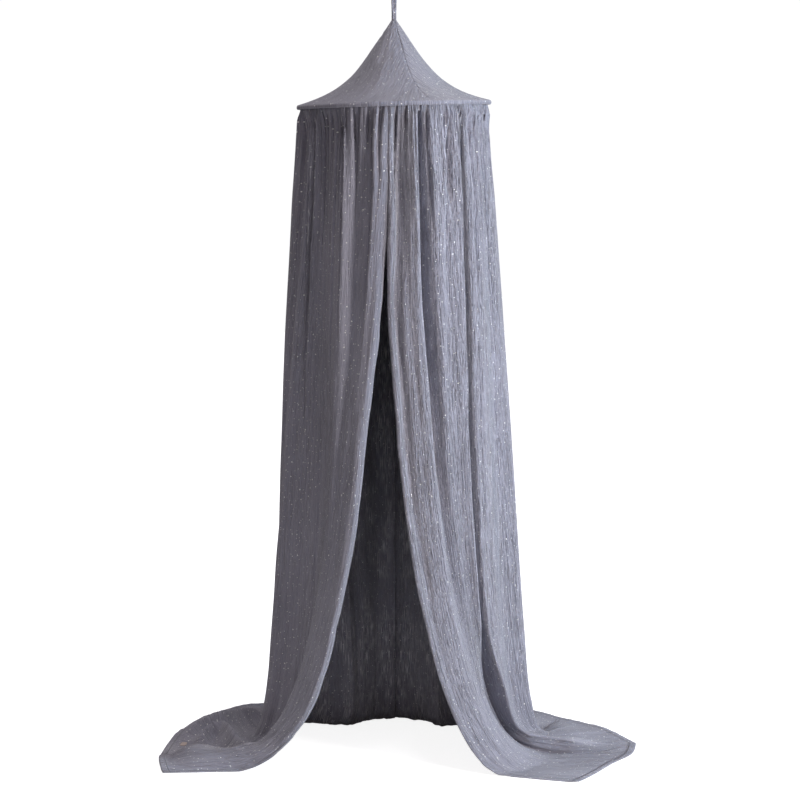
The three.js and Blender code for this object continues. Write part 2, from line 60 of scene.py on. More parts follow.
opening_gap = 0.004
back_seam_gap = 0.00106

# The cloth and its hems. Hem places are where the mesh has a line near an edge, measured from that edge.
cloth_thickness = 0.0011
hem_thickness = 0.0026
hem_breadth = 0.0195
hem_step = 0.0022
hem_places = np.array([0, 0.0035, 0.008, 0.0125, 0.0172, 0.0188, 0.0205])
stitch_line = 0.0160
floor_lift = 0.0002

# The skirt's folds: how far they stand out, how much that grows down to the floor, how high they stand on the
# floor and over what distance they sink there.
fold_depth = 0.019
fold_deepening = 0.3
fold_rise = 0.044
fold_flatten = 0.230
flattened_share = 0.25
lying_lift = 0.001


# Camera: a long lens, 5.5 m in front and level with a point just under the hoop, looking a little down.
camera_place = (0.0158, -5.5, -0.410)
camera_tilt = 7.234
camera_data = bpy.data.cameras.new("camera")
camera_data.lens = 93.06
camera_data.sensor_width = 36
camera_data.clip_start = 0.1
camera_data.clip_end = 60
camera = bpy.data.objects.new("camera", camera_data)
bpy.context.scene.collection.objects.link(camera)
camera.location = camera_place
camera.rotation_euler = (math.radians(90 - camera_tilt), 0, 0)
bpy.context.scene.camera = camera


# Curves and noise
def smooth_step(t):
    t = np.clip(t, 0, 1)
    return t * t * (3 - 2 * t)


def rising(distance, start, over):
    """0 before start, 1 once over has been passed as well."""
    return smooth_step((distance - start) / over)


def fading(distance, start, over):
    """1 before start, 0 once over has been passed as well."""
    return 1 - rising(distance, start, over)


def hump(distance, width, power=2):
    """1 where the distance is 0, sinking softly on both sides."""
    return np.exp(-((distance / width) ** power))


def smooth_along(values, t):
    """A smooth curve through evenly spaced values, at places t from 0 to 1."""
    values = np.asarray(values, float)
    last = len(values) - 1
    place = np.clip(t, 0, 1) * last
    i = np.minimum(np.floor(place).astype(int), last - 1)
    f = place - i
    a, b = values[i], values[i + 1]
    before = values[np.maximum(i - 1, 0)]
    after = values[np.minimum(i + 2, last)]
    slope_a = np.where(i > 0, (b - before) / 2, b - a)
    slope_b = np.where(i + 2 <= last, (after - a) / 2, b - a)
    h = 2 * f**3 - 3 * f**2 + 1
    return h * a + (1 - h) * b + (f**3 - 2 * f**2 + f) * slope_a + (f**3 - f**2) * slope_b


def curve_weights(count, places):
    """Weights that carry count values to a smooth curve through them, at places from 0 to count - 1."""
    weights = np.zeros((len(places), count))
    i = np.clip(np.floor(places).astype(int), 0, count - 2)
    f = places - i
    rows = np.arange(len(places))
    tension = 0.5
    np.add.at(weights, (rows, np.maximum(i - 1, 0)), tension * (-f + 2 * f**2 - f**3))
    np.add.at(weights, (rows, i), 1 + (-3 + tension) * f**2 + (2 - tension) * f**3)
    np.add.at(weights, (rows, i + 1), tension * f + (3 - 2 * tension) * f**2 + (tension - 2) * f**3)
    np.add.at(weights, (rows, np.minimum(i + 2, count - 1)), tension * (f**3 - f**2))
    return weights


def soft_noise(u, v, size_u, size_v, seed):
    """Smooth random heights from -1 to 1, spaced by size_u across the cloth and size_v along it."""
    a = np.asarray(u, float) / size_u
    b = np.asarray(v, float) / size_v
    a = a - a.min()
    b = b - b.min()
    rng = np.random.default_rng(seed)
    grid = rng.uniform(-1, 1, (int(a.max()) + 3, int(b.max()) + 3))
    i, j = np.floor(a).astype(int), np.floor(b).astype(int)
    f, g = smooth_step(a - i), smooth_step(b - j)
    near = grid[i, j] * (1 - f) + grid[i + 1, j] * f
    far = grid[i, j + 1] * (1 - f) + grid[i + 1, j + 1] * f
    return near * (1 - g) + far * g


# Meshes
def build_mesh(name, points, faces, uv):
    """A mesh object from points, four-cornered or three-cornered faces and one UV place for each point."""
    mesh = bpy.data.meshes.new(name)
    mesh.from_pydata(points.tolist(), [], faces)
    layer = mesh.uv_layers.new(name="cloth")
    corners = np.empty(len(mesh.loops), np.int32)
    mesh.loops.foreach_get("vertex_index", corners)
    layer.data.foreach_set("uv", uv[corners].astype(np.float32).ravel())
    mesh.polygons.foreach_set("use_smooth", [True] * len(mesh.polygons))
    mesh.update()
    piece = bpy.data.objects.new(name, mesh)
    bpy.context.scene.collection.objects.link(piece)
    face_outwards(piece)
    return piece


def face_outwards(piece):
    """Turns the faces of a closed mesh outwards."""
    bpy.ops.object.select_all(action="DESELECT")
    bpy.context.view_layer.objects.active = piece
    piece.select_set(True)
    bpy.ops.object.mode_set(mode="EDIT")
    bpy.ops.mesh.select_all(action="SELECT")
    bpy.ops.mesh.normals_make_consistent(inside=False)
    bpy.ops.object.mode_set(mode="OBJECT")
    piece.select_set(False)


def add_values(piece, name, values):
    """Gives each point of a piece a value that its material reads."""
    layer = piece.data.attributes.new(name, "FLOAT", "POINT")
    layer.data.foreach_set("value", values.astype(np.float32))


def surface_normals(points):
    across = np.gradient(points, axis=1)
    down = np.gradient(points, axis=0)
    normal = np.cross(across, down)
    size = np.linalg.norm(normal, axis=2, keepdims=True)
    return normal / np.maximum(size, 1e-12)


def cloth_shell(name, points, normals, thickness, uv, calm, lowest=None):
    """A thin closed sheet with rounded edges round a grid of points in the middle of the cloth.

    Its points carry two values: inside, 1 on the inner face, and calm, how little its gauze is crinkled."""
    rim_reach = 0.4
    rows, columns = points.shape[:2]
    half = thickness[..., None] / 2
    outer = points + normals * half
    inner = points - normals * half
    if lowest is not None:
        outer[..., 2] = np.maximum(outer[..., 2], lowest + 2 * floor_lift)
        inner[..., 2] = np.maximum(inner[..., 2], lowest)
    edge = [(0, j) for j in range(columns)]
    edge += [(i, columns - 1) for i in range(1, rows)]
    edge += [(rows - 1, j) for j in range(columns - 2, -1, -1)]
    edge += [(i, 0) for i in range(rows - 2, 0, -1)]
    rim = []
    for i, j in edge:
        ni = 1 if i == 0 else rows - 2 if i == rows - 1 else i
        nj = 1 if j == 0 else columns - 2 if j == columns - 1 else j
        out = points[i, j] - points[ni, nj]
        out = out / max(np.linalg.norm(out), 1e-9)
        place = (outer[i, j] + inner[i, j]) / 2 + out * thickness[i, j] * rim_reach
        if lowest is not None:
            place[2] = max(place[2], lowest + floor_lift)
        rim.append(place)
    total = rows * columns
    index = np.arange(total).reshape(rows, columns)
    a, b = index[:-1, :-1].ravel(), index[:-1, 1:].ravel()
    c, d = index[1:, 1:].ravel(), index[1:, :-1].ravel()
    faces = np.stack([a, b, c, d], 1).tolist()
    faces += np.stack([d + total, c + total, b + total, a + total], 1).tolist()
    count = len(edge)
    for k in range(count):
        n = (k + 1) % count
        p, q = int(index[edge[k]]), int(index[edge[n]])
        rim_p, rim_q = 2 * total + k, 2 * total + n
        faces.append([q, p, rim_p, rim_q])
        faces.append([rim_q, rim_p, p + total, q + total])
    on_edge = [index[place] for place in edge]
    flat_uv = uv.reshape(-1, 2)
    flat_calm = np.broadcast_to(calm, (rows, columns)).ravel()
    all_points = np.concatenate([outer.reshape(-1, 3), inner.reshape(-1, 3), np.array(rim)])
    piece = build_mesh(name, all_points, faces, np.concatenate([flat_uv, flat_uv, flat_uv[on_edge]]))
    add_values(piece, "inside", np.concatenate([np.zeros(total), np.ones(total), np.full(count, 0.5)]))
    add_values(piece, "calm", np.concatenate([flat_calm, flat_calm, flat_calm[on_edge]]))
    return piece


def closed_tube(name, rings, tips, uv, tips_uv):
    """A closed mesh from rings of points, one in each row, with a fan to a tip at both ends."""
    rows, sides = rings.shape[:2]
    index = np.arange(rows * sides).reshape(rows, sides)
    beside = np.roll(index, -1, 1)
    faces = np.stack([index[:-1], beside[:-1], beside[1:], index[1:]], 2).reshape(-1, 4).tolist()
    first, last = rows * sides, rows * sides + 1
    for k in range(sides):
        n = (k + 1) % sides
        faces.append([first, int(index[0, n]), int(index[0, k])])
        faces.append([last, int(index[-1, k]), int(index[-1, n])])
    points = np.concatenate([rings.reshape(-1, 3), tips])
    return build_mesh(name, points, faces, np.concatenate([uv.reshape(-1, 2), tips_uv]))


# How each half of the skirt hangs, at nine places from the front edge to the centre back: which way it
# spreads, which way it is laid on the floor and its slope, in degrees, the height over which it turns on to
# the floor, how suddenly it turns and how far it runs out there.
hang_right = {
    "spread": [-14, -4, 20, 12, 8, 30, 60, 78, 90],
    "lay": [-15.1, 3.6, 5.8, 28.2, 67.9, 76.5, 75, 84, 90],
    "slope": [-1.2, 0.6, 2.1, 3.15, 3.75, 1.2, -3.9, -3.7, -3.1],
    "settle": [0.088, 0.086, 0.072, 0.050, 0.038, 0.036, 0.034, 0.034, 0.034],
    "suddenness": [0.45, 0.52, 0.64, 0.74, 0.8, 0.83, 0.85, 0.85, 0.85],
    "run": [0.947, 0.919, 1.093, 0.937, 0.73, 0.727, 0.8, 0.83, 0.85],
}
hang_left = {
    "spread": [-6, -4, 0, 5, 12, 34, 60, 78, 90],
    "lay": [-3.2, 19.8, 36.8, 48, 63.7, 72.5, 78, 84, 90],
    "slope": [1, 1.7, 2.3, 2.85, 2.95, 0.6, -3.5, -3.5, -3.1],
    "settle": [0.111, 0.100, 0.060, 0.042, 0.038, 0.036, 0.034, 0.034, 0.034],
    "suddenness": [0.52, 0.56, 0.68, 0.78, 0.8, 0.83, 0.85, 0.85, 0.85],
    "run": [1.054, 0.959, 1.121, 1.039, 0.948, 0.859, 0.8, 0.83, 0.85],
}

# Folds from the front edge to the centre back. Each has its place along the heading and along the floor, its
# depth in the upper and in the lower part, and how high it stands on the floor, all as shares.
folds_right = [
    [0, 0, 0.1, 0.1, 0],
    [0.012, 0.012, 0.35, 0.15, 0],
    [0.028, 0.03, -0.3, -0.05, 0],
    [0.05, 0.055, 0.35, 0.15, 0],
    [0.086, 0.11, 0.95, 0.30, 0],
    [0.1, 0.14, -1.5, 0.05, 0],
    [0.135, 0.172, 0.35, 0.30, 0],
    [0.185, 0.196, 0.5, 0.65, 0],
    [0.232, 0.214, 0.95, 1.2, 0.03],
    [0.241, 0.226, -0.6, -1.3, 0],
    [0.245, 0.242, -1.8, -3.3, 0],
    [0.253, 0.240, -1.2, -2.6, 0.35],
    [0.27, 0.252, 0.3, 0.6, 0.95],
    [0.292, 0.266, 0.6, 0.9, 1.0],
    [0.33, 0.302, 0.7, 0.9, 0.8],
    [0.365, 0.34, 0.1, 0.2, 0.25],
    [0.4, 0.4, -0.6, -0.4, 0.4],
    [0.465, 0.46, 0.5, 0.8, 0.5],
    [0.53, 0.53, -1.1, -0.9, 0.1],
    [0.61, 0.61, 0.9, 0.5, 0.3],
    [0.69, 0.69, -1.2, -0.4, 0.1],
    [0.77, 0.77, 1.2, 0.2, 0.1],
    [0.85, 0.85, -1.1, -0.2, 0.1],
    [0.925, 0.925, 1.1, 0.15, 0.08],
    [0.99, 0.99, -0.5, -0.1, 0.1],
    [1, 1, -1.3, -0.8, 0],
]
folds_left = [
    [0, 0, -0.1, -0.1, 0],
    [0.010, 0.016, 0.3, 0.8, 0.15],
    [0.045, 0.04, 0.4, 0.35, 0.7],
    [0.1, 0.075, -0.5, -0.15, 1.0],
    [0.139, 0.108, 0.15, -0.5, 0.55],
    [0.165, 0.135, 0.1, -0.75, 0.1],
    [0.235, 0.2, -1.0, -1.1, 0],
    [0.27, 0.3, -0.4, -0.9, 0.1],
    [0.285, 0.36, 0.1, -0.3, 0.05],
    [0.305, 0.43, 0.8, 0.9, 0.3],
    [0.36, 0.5, -1.1, -0.8, 0.1],
    [0.43, 0.56, 0.6, 0.9, 0.5],
    [0.5, 0.62, -1.1, -0.7, 0.1],
    [0.58, 0.68, 1.2, 0.4, 0.2],
    [0.665, 0.74, -1.2, -0.3, 0.1],
    [0.75, 0.8, 1.2, 0.2, 0.1],
    [0.835, 0.865, -1.1, -0.2, 0.1],
    [0.92, 0.93, 1.1, 0.15, 0.08],
    [0.99, 0.99, -0.5, -0.1, 0.1],
    [1, 1, -1.3, -0.8, 0],
]

# How far each front edge hangs outside the line of its folds, at distances down the cloth, and the share of
# the cloth that follows it. Then how far the right edge lies in front of the left one, over what breadth, and
# how far down that ends and over what run.
edge_lengths = [0, 0.2, 0.3, 0.4, 0.5, 0.6, 0.75, 0.9, 1.05, 1.2, 1.35, 1.5, 1.6, 1.7, 1.8, 1.9, 2.01]
edge_right = [
    0.0008, -0.0009, -0.0031, -0.009, -0.0142, -0.0125, -0.0079, -0.007, -0.0029,
    0.0015, 0.0065, 0.0089, 0.011, 0.0106, 0.0074, 0.0032, 0,
]
edge_left = [
    -0.0079, -0.0165, -0.0175, -0.0135, -0.012, -0.0095, -0.004, -0.003, -0.004,
    -0.0045, -0.002, -0.009, -0.0135, -0.009, -0.005, -0.002, 0,
]
edge_share = 0.10
edge_lap = 0.0016
edge_lap_breadth = 0.02
edge_lap_end = (0.25, 0.3)

# Tucks: sharp fold edges past which the cloth drops back and comes forward again slowly. Each has its place
# at the heading and at the floor, where it starts and ends down the cloth, its depth and its breadth.
tucks_right = [
    [0.094, 0.125, 0.0, 1.15, 0.010, 0.022],
    [0.240, 0.222, 0.01, 1.45, 0.022, 0.013],
    [0.292, 0.268, 0.0, 0.70, 0.007, 0.009],
    [0.335, 0.305, 0.02, 0.55, 0.006, 0.008],
    [0.405, 0.400, 0.0, 0.90, 0.009, 0.012],
    [0.480, 0.475, 0.0, 0.60, 0.008, 0.011],
    [0.625, 0.625, 0.0, 0.85, 0.009, 0.012],
    [0.780, 0.780, 0.0, 0.75, 0.008, 0.012],
]
tucks_left = [
    [0.052, 0.046, 0.0, 0.42, 0.012, 0.016],
    [0.148, 0.116, 0.0, 0.40, 0.008, 0.016],
    [0.205, 0.172, 0.03, 0.55, 0.006, 0.009],
    [0.278, 0.330, 0.0, 0.60, 0.018, 0.016],
    [0.345, 0.460, 0.02, 0.60, 0.012, 0.014],
    [0.450, 0.580, 0.0, 0.85, 0.014, 0.014],
    [0.600, 0.700, 0.0, 0.65, 0.008, 0.011],
    [0.765, 0.815, 0.0, 0.80, 0.008, 0.012],
]

# Hollows that run down the cloth: where each starts and ends, its place along the heading at both ends, its
# depth and its breadth at both ends.
channels_right = [[1.25, 1.6, 0.232, 0.206, 0.05, 0.008, 0.026]]
channels_left = [[1.45, 1.75, 0.30, 0.27, 0.020, 0.02, 0.05]]

# Places where the right cloth is moved a little: distance down the cloth and place along the floor, both with
# their reach, and the way it moves.
nudges_right = [
    [1.54, 0.10, 0.258, 0.018, 0.016, 0.0, 0.0],
    [1.86, 0.050, 0.250, 0.016, 0.0, -0.020, 0.0],
    [1.985, 0.050, 0.255, 0.030, 0.0, 0.040, 0.0],
]

# Soft ridges in the left cloth where it lies on the floor: an arch, the ridge behind it and the roll in
# front. Each has its points on the floor, its height and its width.
arch_line = [
    (-0.379, -0.217), (-0.400, -0.181), (-0.420, -0.135), (-0.444, -0.061),
    (-0.469, 0.006), (-0.495, 0.015), (-0.515, -0.004), (-0.529, -0.052),
]
back_ridge_line = [
    (-0.374, 0.200), (-0.406, 0.205), (-0.435, 0.190), (-0.462, 0.135),
    (-0.490, 0.118), (-0.512, 0.105), (-0.545, 0.090), (-0.573, 0.045),
]
front_roll_line = [(-0.370, -0.230), (-0.420, -0.200), (-0.470, -0.188), (-0.530, -0.186), (-0.590, -0.180)]
ridges_left = [(arch_line, 0.062, 0.017), (back_ridge_line, 0.044, 0.018), (front_roll_line, 0.034, 0.024)]

# A ridge rises only where the cloth lies: what it has of its height follows how far the cloth has lain down.
ridge_gain, ridge_shift = 1.6, 0.5

# Gathers at the heading: how deep and how far apart they are, how far down the cloth they reach and how often
# each reach comes, how much they slant and wander, and where the first and the last may be. A gather has a
# sharp edge, a hollow and a lip, each with its breadth at the heading and how much it opens down the cloth.
gather_depths = (0.008, 0.021)
gather_spacings = (0.014, 0.034)
gather_reaches = [0.05, 0.09, 0.15, 0.26, 0.45]
gather_reach_shares = [0.22, 0.24, 0.22, 0.20, 0.12]
gather_slant = 0.045
gather_wander = 0.003
first_gather = 0.034
last_gather = skirt_breadth - 0.02
gather_edge = (0.0030, 0.012)
gather_hollow = (0.0065, 0.024)
gather_lip = (0.006, 0.02)
lip_share = 0.25
hollow_power = 1.5

# How a gather fades down the cloth, and the share of its depth that it has at the very top and the run over
# which it reaches all of it.
gather_fade_power = 1.6
gather_top_share = 0.3
gather_top_run = 0.03

# Tucks: the breadth of their sharp edge, the runs over which they start and end, their lip as shares of their
# depth and breadth, and how much of the gathers' wandering they follow.
tuck_edge = 0.0030
tuck_start, tuck_end = 0.05, 0.30
tuck_lip_share, tuck_lip_breadth_share = 0.3, 0.6
tuck_wander_share = 0.5

# Below the heading the folds open: the share that they have at once, and what they gain over two distances.
# The cloth between them swells a little, and the seam allowance holds the topmost strip nearly flat.
heading_share = 0.07
heading_gains = [(0.43, 0.03), (0.5, 0.26)]
swell_height = 0.005
swell_start = 0.08
swell_reach = 0.75
heading_fullness = 0.003
heading_fullness_end = (0.01, 0.05)
flat_strip = 0.016
flat_strip_depth = 0.0025
plain_front_edge = 0.03

# Size of the uneven waves by which the gathers wander and the cloth swells, across and down the cloth.
wander_sizes = (0.05, 0.10)
swell_sizes = (0.045, 0.5)

# Where the trains are pressed flatter towards their ends: how far down the cloth, over what run and how much.
pressed_right = (1.84, 0.15, 0.8)
pressed_left = (1.92, 0.08, 0.45)

# The left folds that stand up only out on the train: from what share of the heading on, and how far down the
# cloth the train is reached, both with the run over which the change comes.
front_folds_end = (0.2, 0.1)
left_train_start = (1.76, 0.12)

# How calm the gauze's crinkles are, from 0 to 1, on the left width and on the right one near the floor, and
# from what distance down the cloth and over what run the right one grows calm.
skirt_calm = 0.6
right_calm_start = (1.35, 0.4)

# Soft creases of the skirt: height, size across and down the cloth, and where they are.
skirt_creases = [
    (0.0018, 0.024, 0.300, "everywhere"),
    (0.0011, 0.011, 0.120, "everywhere"),
    (0.0010, 0.060, 0.050, "low down"),
    (0.0022, 0.100, 0.022, "at the turn"),
    (0.0020, 0.050, 0.045, "front hem"),
]

# Where they are: a start down the cloth and a run, the middle of the turn on to the floor and its reach, and
# the breadth of the front hem. Creases start under the heading and end before the centre back.
low_down_start = (1.2, 0.4)
turn_middle, turn_reach = 1.72, 0.10
front_hem_breadth, front_hem_start = 0.02, 0.3
crease_start = 0.04
crease_end = 0.05

# Rows of the skirt's mesh, in stretches down the cloth, and its columns: their spacing in front, how much
# wider it is behind, and from what share of the breadth and over what share it widens.
row_stretches = [
    (0, 0.10, 15), (0.10, 0.35, 17), (0.35, 1.45, 32), (1.45, 1.70, 16), (1.70, skirt_length - 0.022, 50),
]
column_spacing = 0.0026
column_widening = 0.0034
widening_start_share = 0.46
widening_over_share = 0.25
least_column_gap = 0.003

# How a fall is followed: at how many places round the skirt, and in what steps down the cloth.
fall_places = 161
fall_step = 0.004


def fall_table(hang):
    """How cloth at each of many places falls: its shift aside and back, its height and its tilt."""
    shares = np.linspace(0, 1, fall_places)
    count = int(skirt_length / fall_step) + 3
    spread, lay, slope = (np.radians(smooth_along(hang[key], shares)) for key in ("spread", "lay", "slope"))
    settle, suddenness, run = (smooth_along(hang[key], shares) for key in ("settle", "suddenness", "run"))
    aside = np.zeros_like(shares)
    back = np.zeros_like(shares)
    height = np.full_like(shares, hoop_height + heading_z - hoop_z)
    table = np.zeros((count, len(shares), 4))
    for k in range(count):
        turn = np.exp(-((np.maximum(height, 0) / settle) ** suddenness))
        tilt = slope + (np.pi / 2 - slope) * turn
        table[k] = np.stack([aside, back, height, tilt], 1)
        forward = fall_step * np.sin(tilt) * (1 + (run - 1) * turn)
        way = spread + (lay - spread) * turn
        aside = aside + forward * np.cos(way)
        back = back + forward * np.sin(way)
        height = height - fall_step * np.cos(tilt)
    return table


def look_up(table, share, length):
    """Reads a fall table between its entries."""
    a = np.clip(share, 0, 1) * (table.shape[1] - 1)
    b = length / fall_step
    i = np.minimum(np.floor(a).astype(int), table.shape[1] - 2)
    j = np.minimum(np.floor(b).astype(int), table.shape[0] - 2)
    f, g = (a - i)[..., None], (b - j)[..., None]
    near = table[j, i] * (1 - f) + table[j, i + 1] * f
    far = table[j + 1, i] * (1 - f) + table[j + 1, i + 1] * f
    return np.moveaxis(near * (1 - g) + far * g, 2, 0)


def ridge_height(points, line, height, width):
    """The height of a soft ridge that runs along a line on the floor, tapering to its ends."""
    crest_power, taper_power, end_share = 1.35, 0.6, 0.02
    path = np.array(line, float)
    best = np.full(points.shape[:2], np.inf)
    along = np.zeros(points.shape[:2])
    total = 0.0
    lengths = np.linalg.norm(np.diff(path, axis=0), axis=1)
    for k, piece_length in enumerate(lengths):
        a, d = path[k], path[k + 1] - path[k]
        rel = points[..., :2] - a
        t = np.clip((rel @ d) / (d @ d), 0, 1)
        gap = np.linalg.norm(rel - t[..., None] * d, axis=2)
        closer = gap < best
        best = np.where(closer, gap, best)
        along = np.where(closer, total + t * piece_length, along)
        total += piece_length
    taper = np.sin(np.pi * np.clip(along / total, end_share, 1 - end_share)) ** taper_power
    return height * taper * hump(best, width, crest_power)


def tilt_with_hoop(points):
    """The hoop hangs a little out of level, and the cloth above and below it follows."""
    z = points[..., 2]
    above = 1 - (z - hoop_z) / crown_height
    below = 1 - (hoop_z - z) / hoop_height
    share = smooth_step(np.where(z > hoop_z, above, below))
    points[..., 2] = z + math.tan(hoop_tilt) * share * points[..., 0]
    return points


def spaced_rows():
    """Distances down the cloth, close together at the gathers, near the floor and at the hem."""
    parts = [np.linspace(start, end, count, endpoint=False) for start, end, count in row_stretches]
    return np.concatenate([*parts, skirt_length - hem_places[::-1]])


def spaced_columns(folds):
    """Places along the fold table, evenly spaced over the cloth but closer in front, and those of the hem."""
    upper_share, lower_share = 0.4, 0.6
    measured_places = 6000
    fine = np.linspace(0, len(folds) - 1, measured_places)
    weights = curve_weights(len(folds), fine)
    share = weights @ (folds[:, 0] * upper_share + folds[:, 1] * lower_share)
    depth = weights @ (folds[:, 2] * upper_share + folds[:, 3] * lower_share) * fold_depth
    run = np.hypot(np.diff(share) * np.pi * heading_radius, np.diff(depth))
    along = np.concatenate([[0], np.cumsum(run)])
    along = along / along[-1] * skirt_breadth
    widened = rising(along / skirt_breadth, widening_start_share, widening_over_share)
    density = 1 / (column_spacing + column_widening * widened)
    total = np.concatenate([[0], np.cumsum((density[1:] + density[:-1]) / 2 * np.diff(along))])
    columns = np.interp(np.linspace(0, total[-1], int(total[-1]) + 1), total, along)
    columns = np.concatenate([hem_places, columns[columns > hem_places[-1] + least_column_gap]])
    return np.interp(columns, along, fine), columns


def gathers(u, length, wander, seed):
    """Pinches at the heading, no two alike, that open and run out further down."""

    def opened(breadth):
        at_heading, opening = breadth
        return at_heading + opening * length

    rng = np.random.default_rng(seed)
    pinches = np.zeros(u.shape)
    place = first_gather
    while place < last_gather:
        deep = rng.uniform(*gather_depths)
        reach = rng.choice(gather_reaches, p=gather_reach_shares)
        slant = rng.normal() * gather_slant
        way = rng.choice([-1, 1])
        gap = way * (u + wander - place - slant * length)
        past = smooth_step(gap / opened(gather_edge) + 0.5)
        hollow = past * hump(np.maximum(gap, 0), opened(gather_hollow), hollow_power)
        lip = (1 - past) * hump(np.minimum(gap, 0), opened(gather_lip))
        at_top = gather_top_share + (1 - gather_top_share) * rising(length, 0, gather_top_run)
        fade = hump(length, reach, gather_fade_power) * at_top
        pinches = pinches + deep * fade * (lip_share * lip - hollow)
        place += rng.uniform(*gather_spacings)
    return pinches


def tucks_in(tucks, share, down, length, wander):
    """The drops of the tucks, each behind a low lip."""
    drops = np.zeros(share.shape)
    for above, below, start, end, deep, wide in tucks:
        gap = (share - above - (below - above) * down) * math.pi * heading_radius
        gap = gap + wander * tuck_wander_share
        run = rising(length, start, tuck_start) * fading(length, end, tuck_end)
        past = smooth_step(gap / tuck_edge + 0.5)
        drop = past * hump(np.maximum(gap, 0), wide, hollow_power)
        lip = (1 - past) * hump(np.minimum(gap, 0), wide * tuck_lip_breadth_share)
        drops = drops + deep * run * (tuck_lip_share * lip - drop)
    return drops


def creases_in(u, length, seed):
    """Creases down the cloth, short ones across it where it turns on to the floor, and a wavy front hem."""
    strength = {
        "everywhere": 1,
        "low down": rising(length, *low_down_start),
        "at the turn": hump(length - turn_middle, turn_reach),
        "front hem": hump(u, front_hem_breadth) * rising(length, 0, front_hem_start),
    }
    creases = np.zeros(u.shape)
    for k, (height, across, down, where) in enumerate(skirt_creases):
        creases = creases + height * soft_noise(u, length, across, down, seed + k) * strength[where]
    return creases * rising(length, 0, crease_start) * rising(skirt_breadth - u, 0, crease_end)


def way_out(share, down, depth, u, length, tucks, channels, seed):
    """How far the hanging cloth stands out from the heading's circle: folds, gathers, tucks and hollows."""
    wander = gather_wander * soft_noise(u, length, *wander_sizes, seed + 1)
    swells = soft_noise(u, length, *swell_sizes, seed + 7)
    swells = swells * rising(length, 0, swell_start) * hump(length, swell_reach)
    pleats = gathers(u, length, wander, seed) + swell_height * swells
    pleats = pleats + heading_fullness * fading(length, *heading_fullness_end)
    pleats = np.where(length < flat_strip, np.maximum(pleats, -flat_strip_depth), pleats)
    pleats = (pleats + tucks_in(tucks, share, down, length, wander)) * rising(u, 0, plain_front_edge)
    opened = heading_share + sum(gain * rising(length, 0, over) for gain, over in heading_gains)
    deepened = 1 + fold_deepening * (length / hoop_height)
    offset = fold_depth * depth * opened * deepened + pleats
    for start, end, before, after, deep, narrow, wide in channels:
        along = rising(length, start, end - start)
        gap = share - before - (after - before) * along
        offset = offset - deep * along * hump(gap, narrow + (wide - narrow) * along)
    return offset


def floor_folds(side, share, rise, length, lying):
    """How high the folds stand on the floor. On the left, those behind the front rise only on the train."""
    flattened = hump(np.maximum(length - hoop_height, 0), fold_flatten)
    raised = fold_rise * rise * lying * (flattened_share + (1 - flattened_share) * flattened)
    start, over, press = pressed_right if side > 0 else pressed_left
    raised = raised * (1 - press * rising(length, start, over))
    if side < 0:
        raised = raised * (1 - rising(share, *front_folds_end) * fading(length, *left_train_start))
    return raised


def skirt_half(name, side, hang, folds, edge, tucks, channels, nudges, ridges, seed):
    """One width of the skirt: gathered at the hoop, hanging in folds and lying on the floor."""
    folds = np.array(folds)
    places, across = spaced_columns(folds)
    down_cloth = spaced_rows()
    length, u = np.meshgrid(down_cloth, across, indexing="ij")
    down = smooth_step(down_cloth / hoop_height)[:, None]
    share_above, share_below, depth_above, depth_below, rise = (curve_weights(len(folds), places) @ folds).T
    share = share_above * (1 - down) + share_below * down
    depth = depth_above * (1 - down) + depth_below * down
    aside, back, height, tilt = look_up(fall_table(hang), share, length)
    lying = np.sin(tilt) ** 2
    offset = way_out(share, down, depth, u, length, tucks, channels, seed) * (1 - lying)
    offset = offset + side * edge_lap * hump(u, edge_lap_breadth) * fading(length, *edge_lap_end)

    front = math.asin((side * opening_offset + opening_gap / 2) / heading_radius)
    rear = math.pi - math.asin(back_seam_gap / 2 / heading_radius)
    azimuth = front + (rear - front) * share
    edge_way = np.interp(down_cloth, edge_lengths, edge)[:, None] * hump(share, edge_share)
    x = (heading_radius + offset) * np.sin(azimuth) + aside + edge_way
    y = -(heading_radius + offset) * np.cos(azimuth) + back
    z = floor_z + height + floor_folds(side, share, rise, length, lying) + lying_lift * lying
    points = np.stack([side * x, y, z], 2)
    for down_at, down_reach, share_at, share_reach, *move in nudges:
        near = hump(length - down_at, down_reach) * hump(share - share_at, share_reach)
        points = points + near[..., None] * np.array(move)
    for line, ridge_size, width in ridges:
        risen = smooth_step(lying * ridge_gain - ridge_shift)
        points[..., 2] += ridge_height(points, line, ridge_size, width) * risen

    outward = -side
    points = points + surface_normals(points) * (outward * creases_in(u, length, seed + 2))[..., None]
    points = tilt_with_hoop(points)
    normals = surface_normals(points) * outward
    front_hem = smooth_step((hem_breadth - u) / hem_step)
    foot_hem = smooth_step((length - (skirt_length - hem_breadth)) / hem_step)
    thickness = cloth_thickness + (hem_thickness - cloth_thickness) * np.maximum(front_hem, foot_hem)
    points[..., 2] = np.maximum(points[..., 2], floor_z + thickness / 2 + 1.5 * floor_lift)
    calm = skirt_calm if side < 0 else skirt_calm * rising(length, *right_calm_start)
    uv = np.stack([u, length], 2)
    return cloth_shell(name, points, normals, thickness, uv, calm, floor_z + floor_lift), points, normals


skirt_left, left_points, left_normals = skirt_half(
    "skirt_left", -1, hang_left, folds_left, edge_left, tucks_left, channels_left, [], ridges_left,
    seed=11,
)
skirt_right, _, _ = skirt_half(
    "skirt_right", 1, hang_right, folds_right, edge_right, tucks_right, channels_right, nudges_right, [],
    seed=47,
)


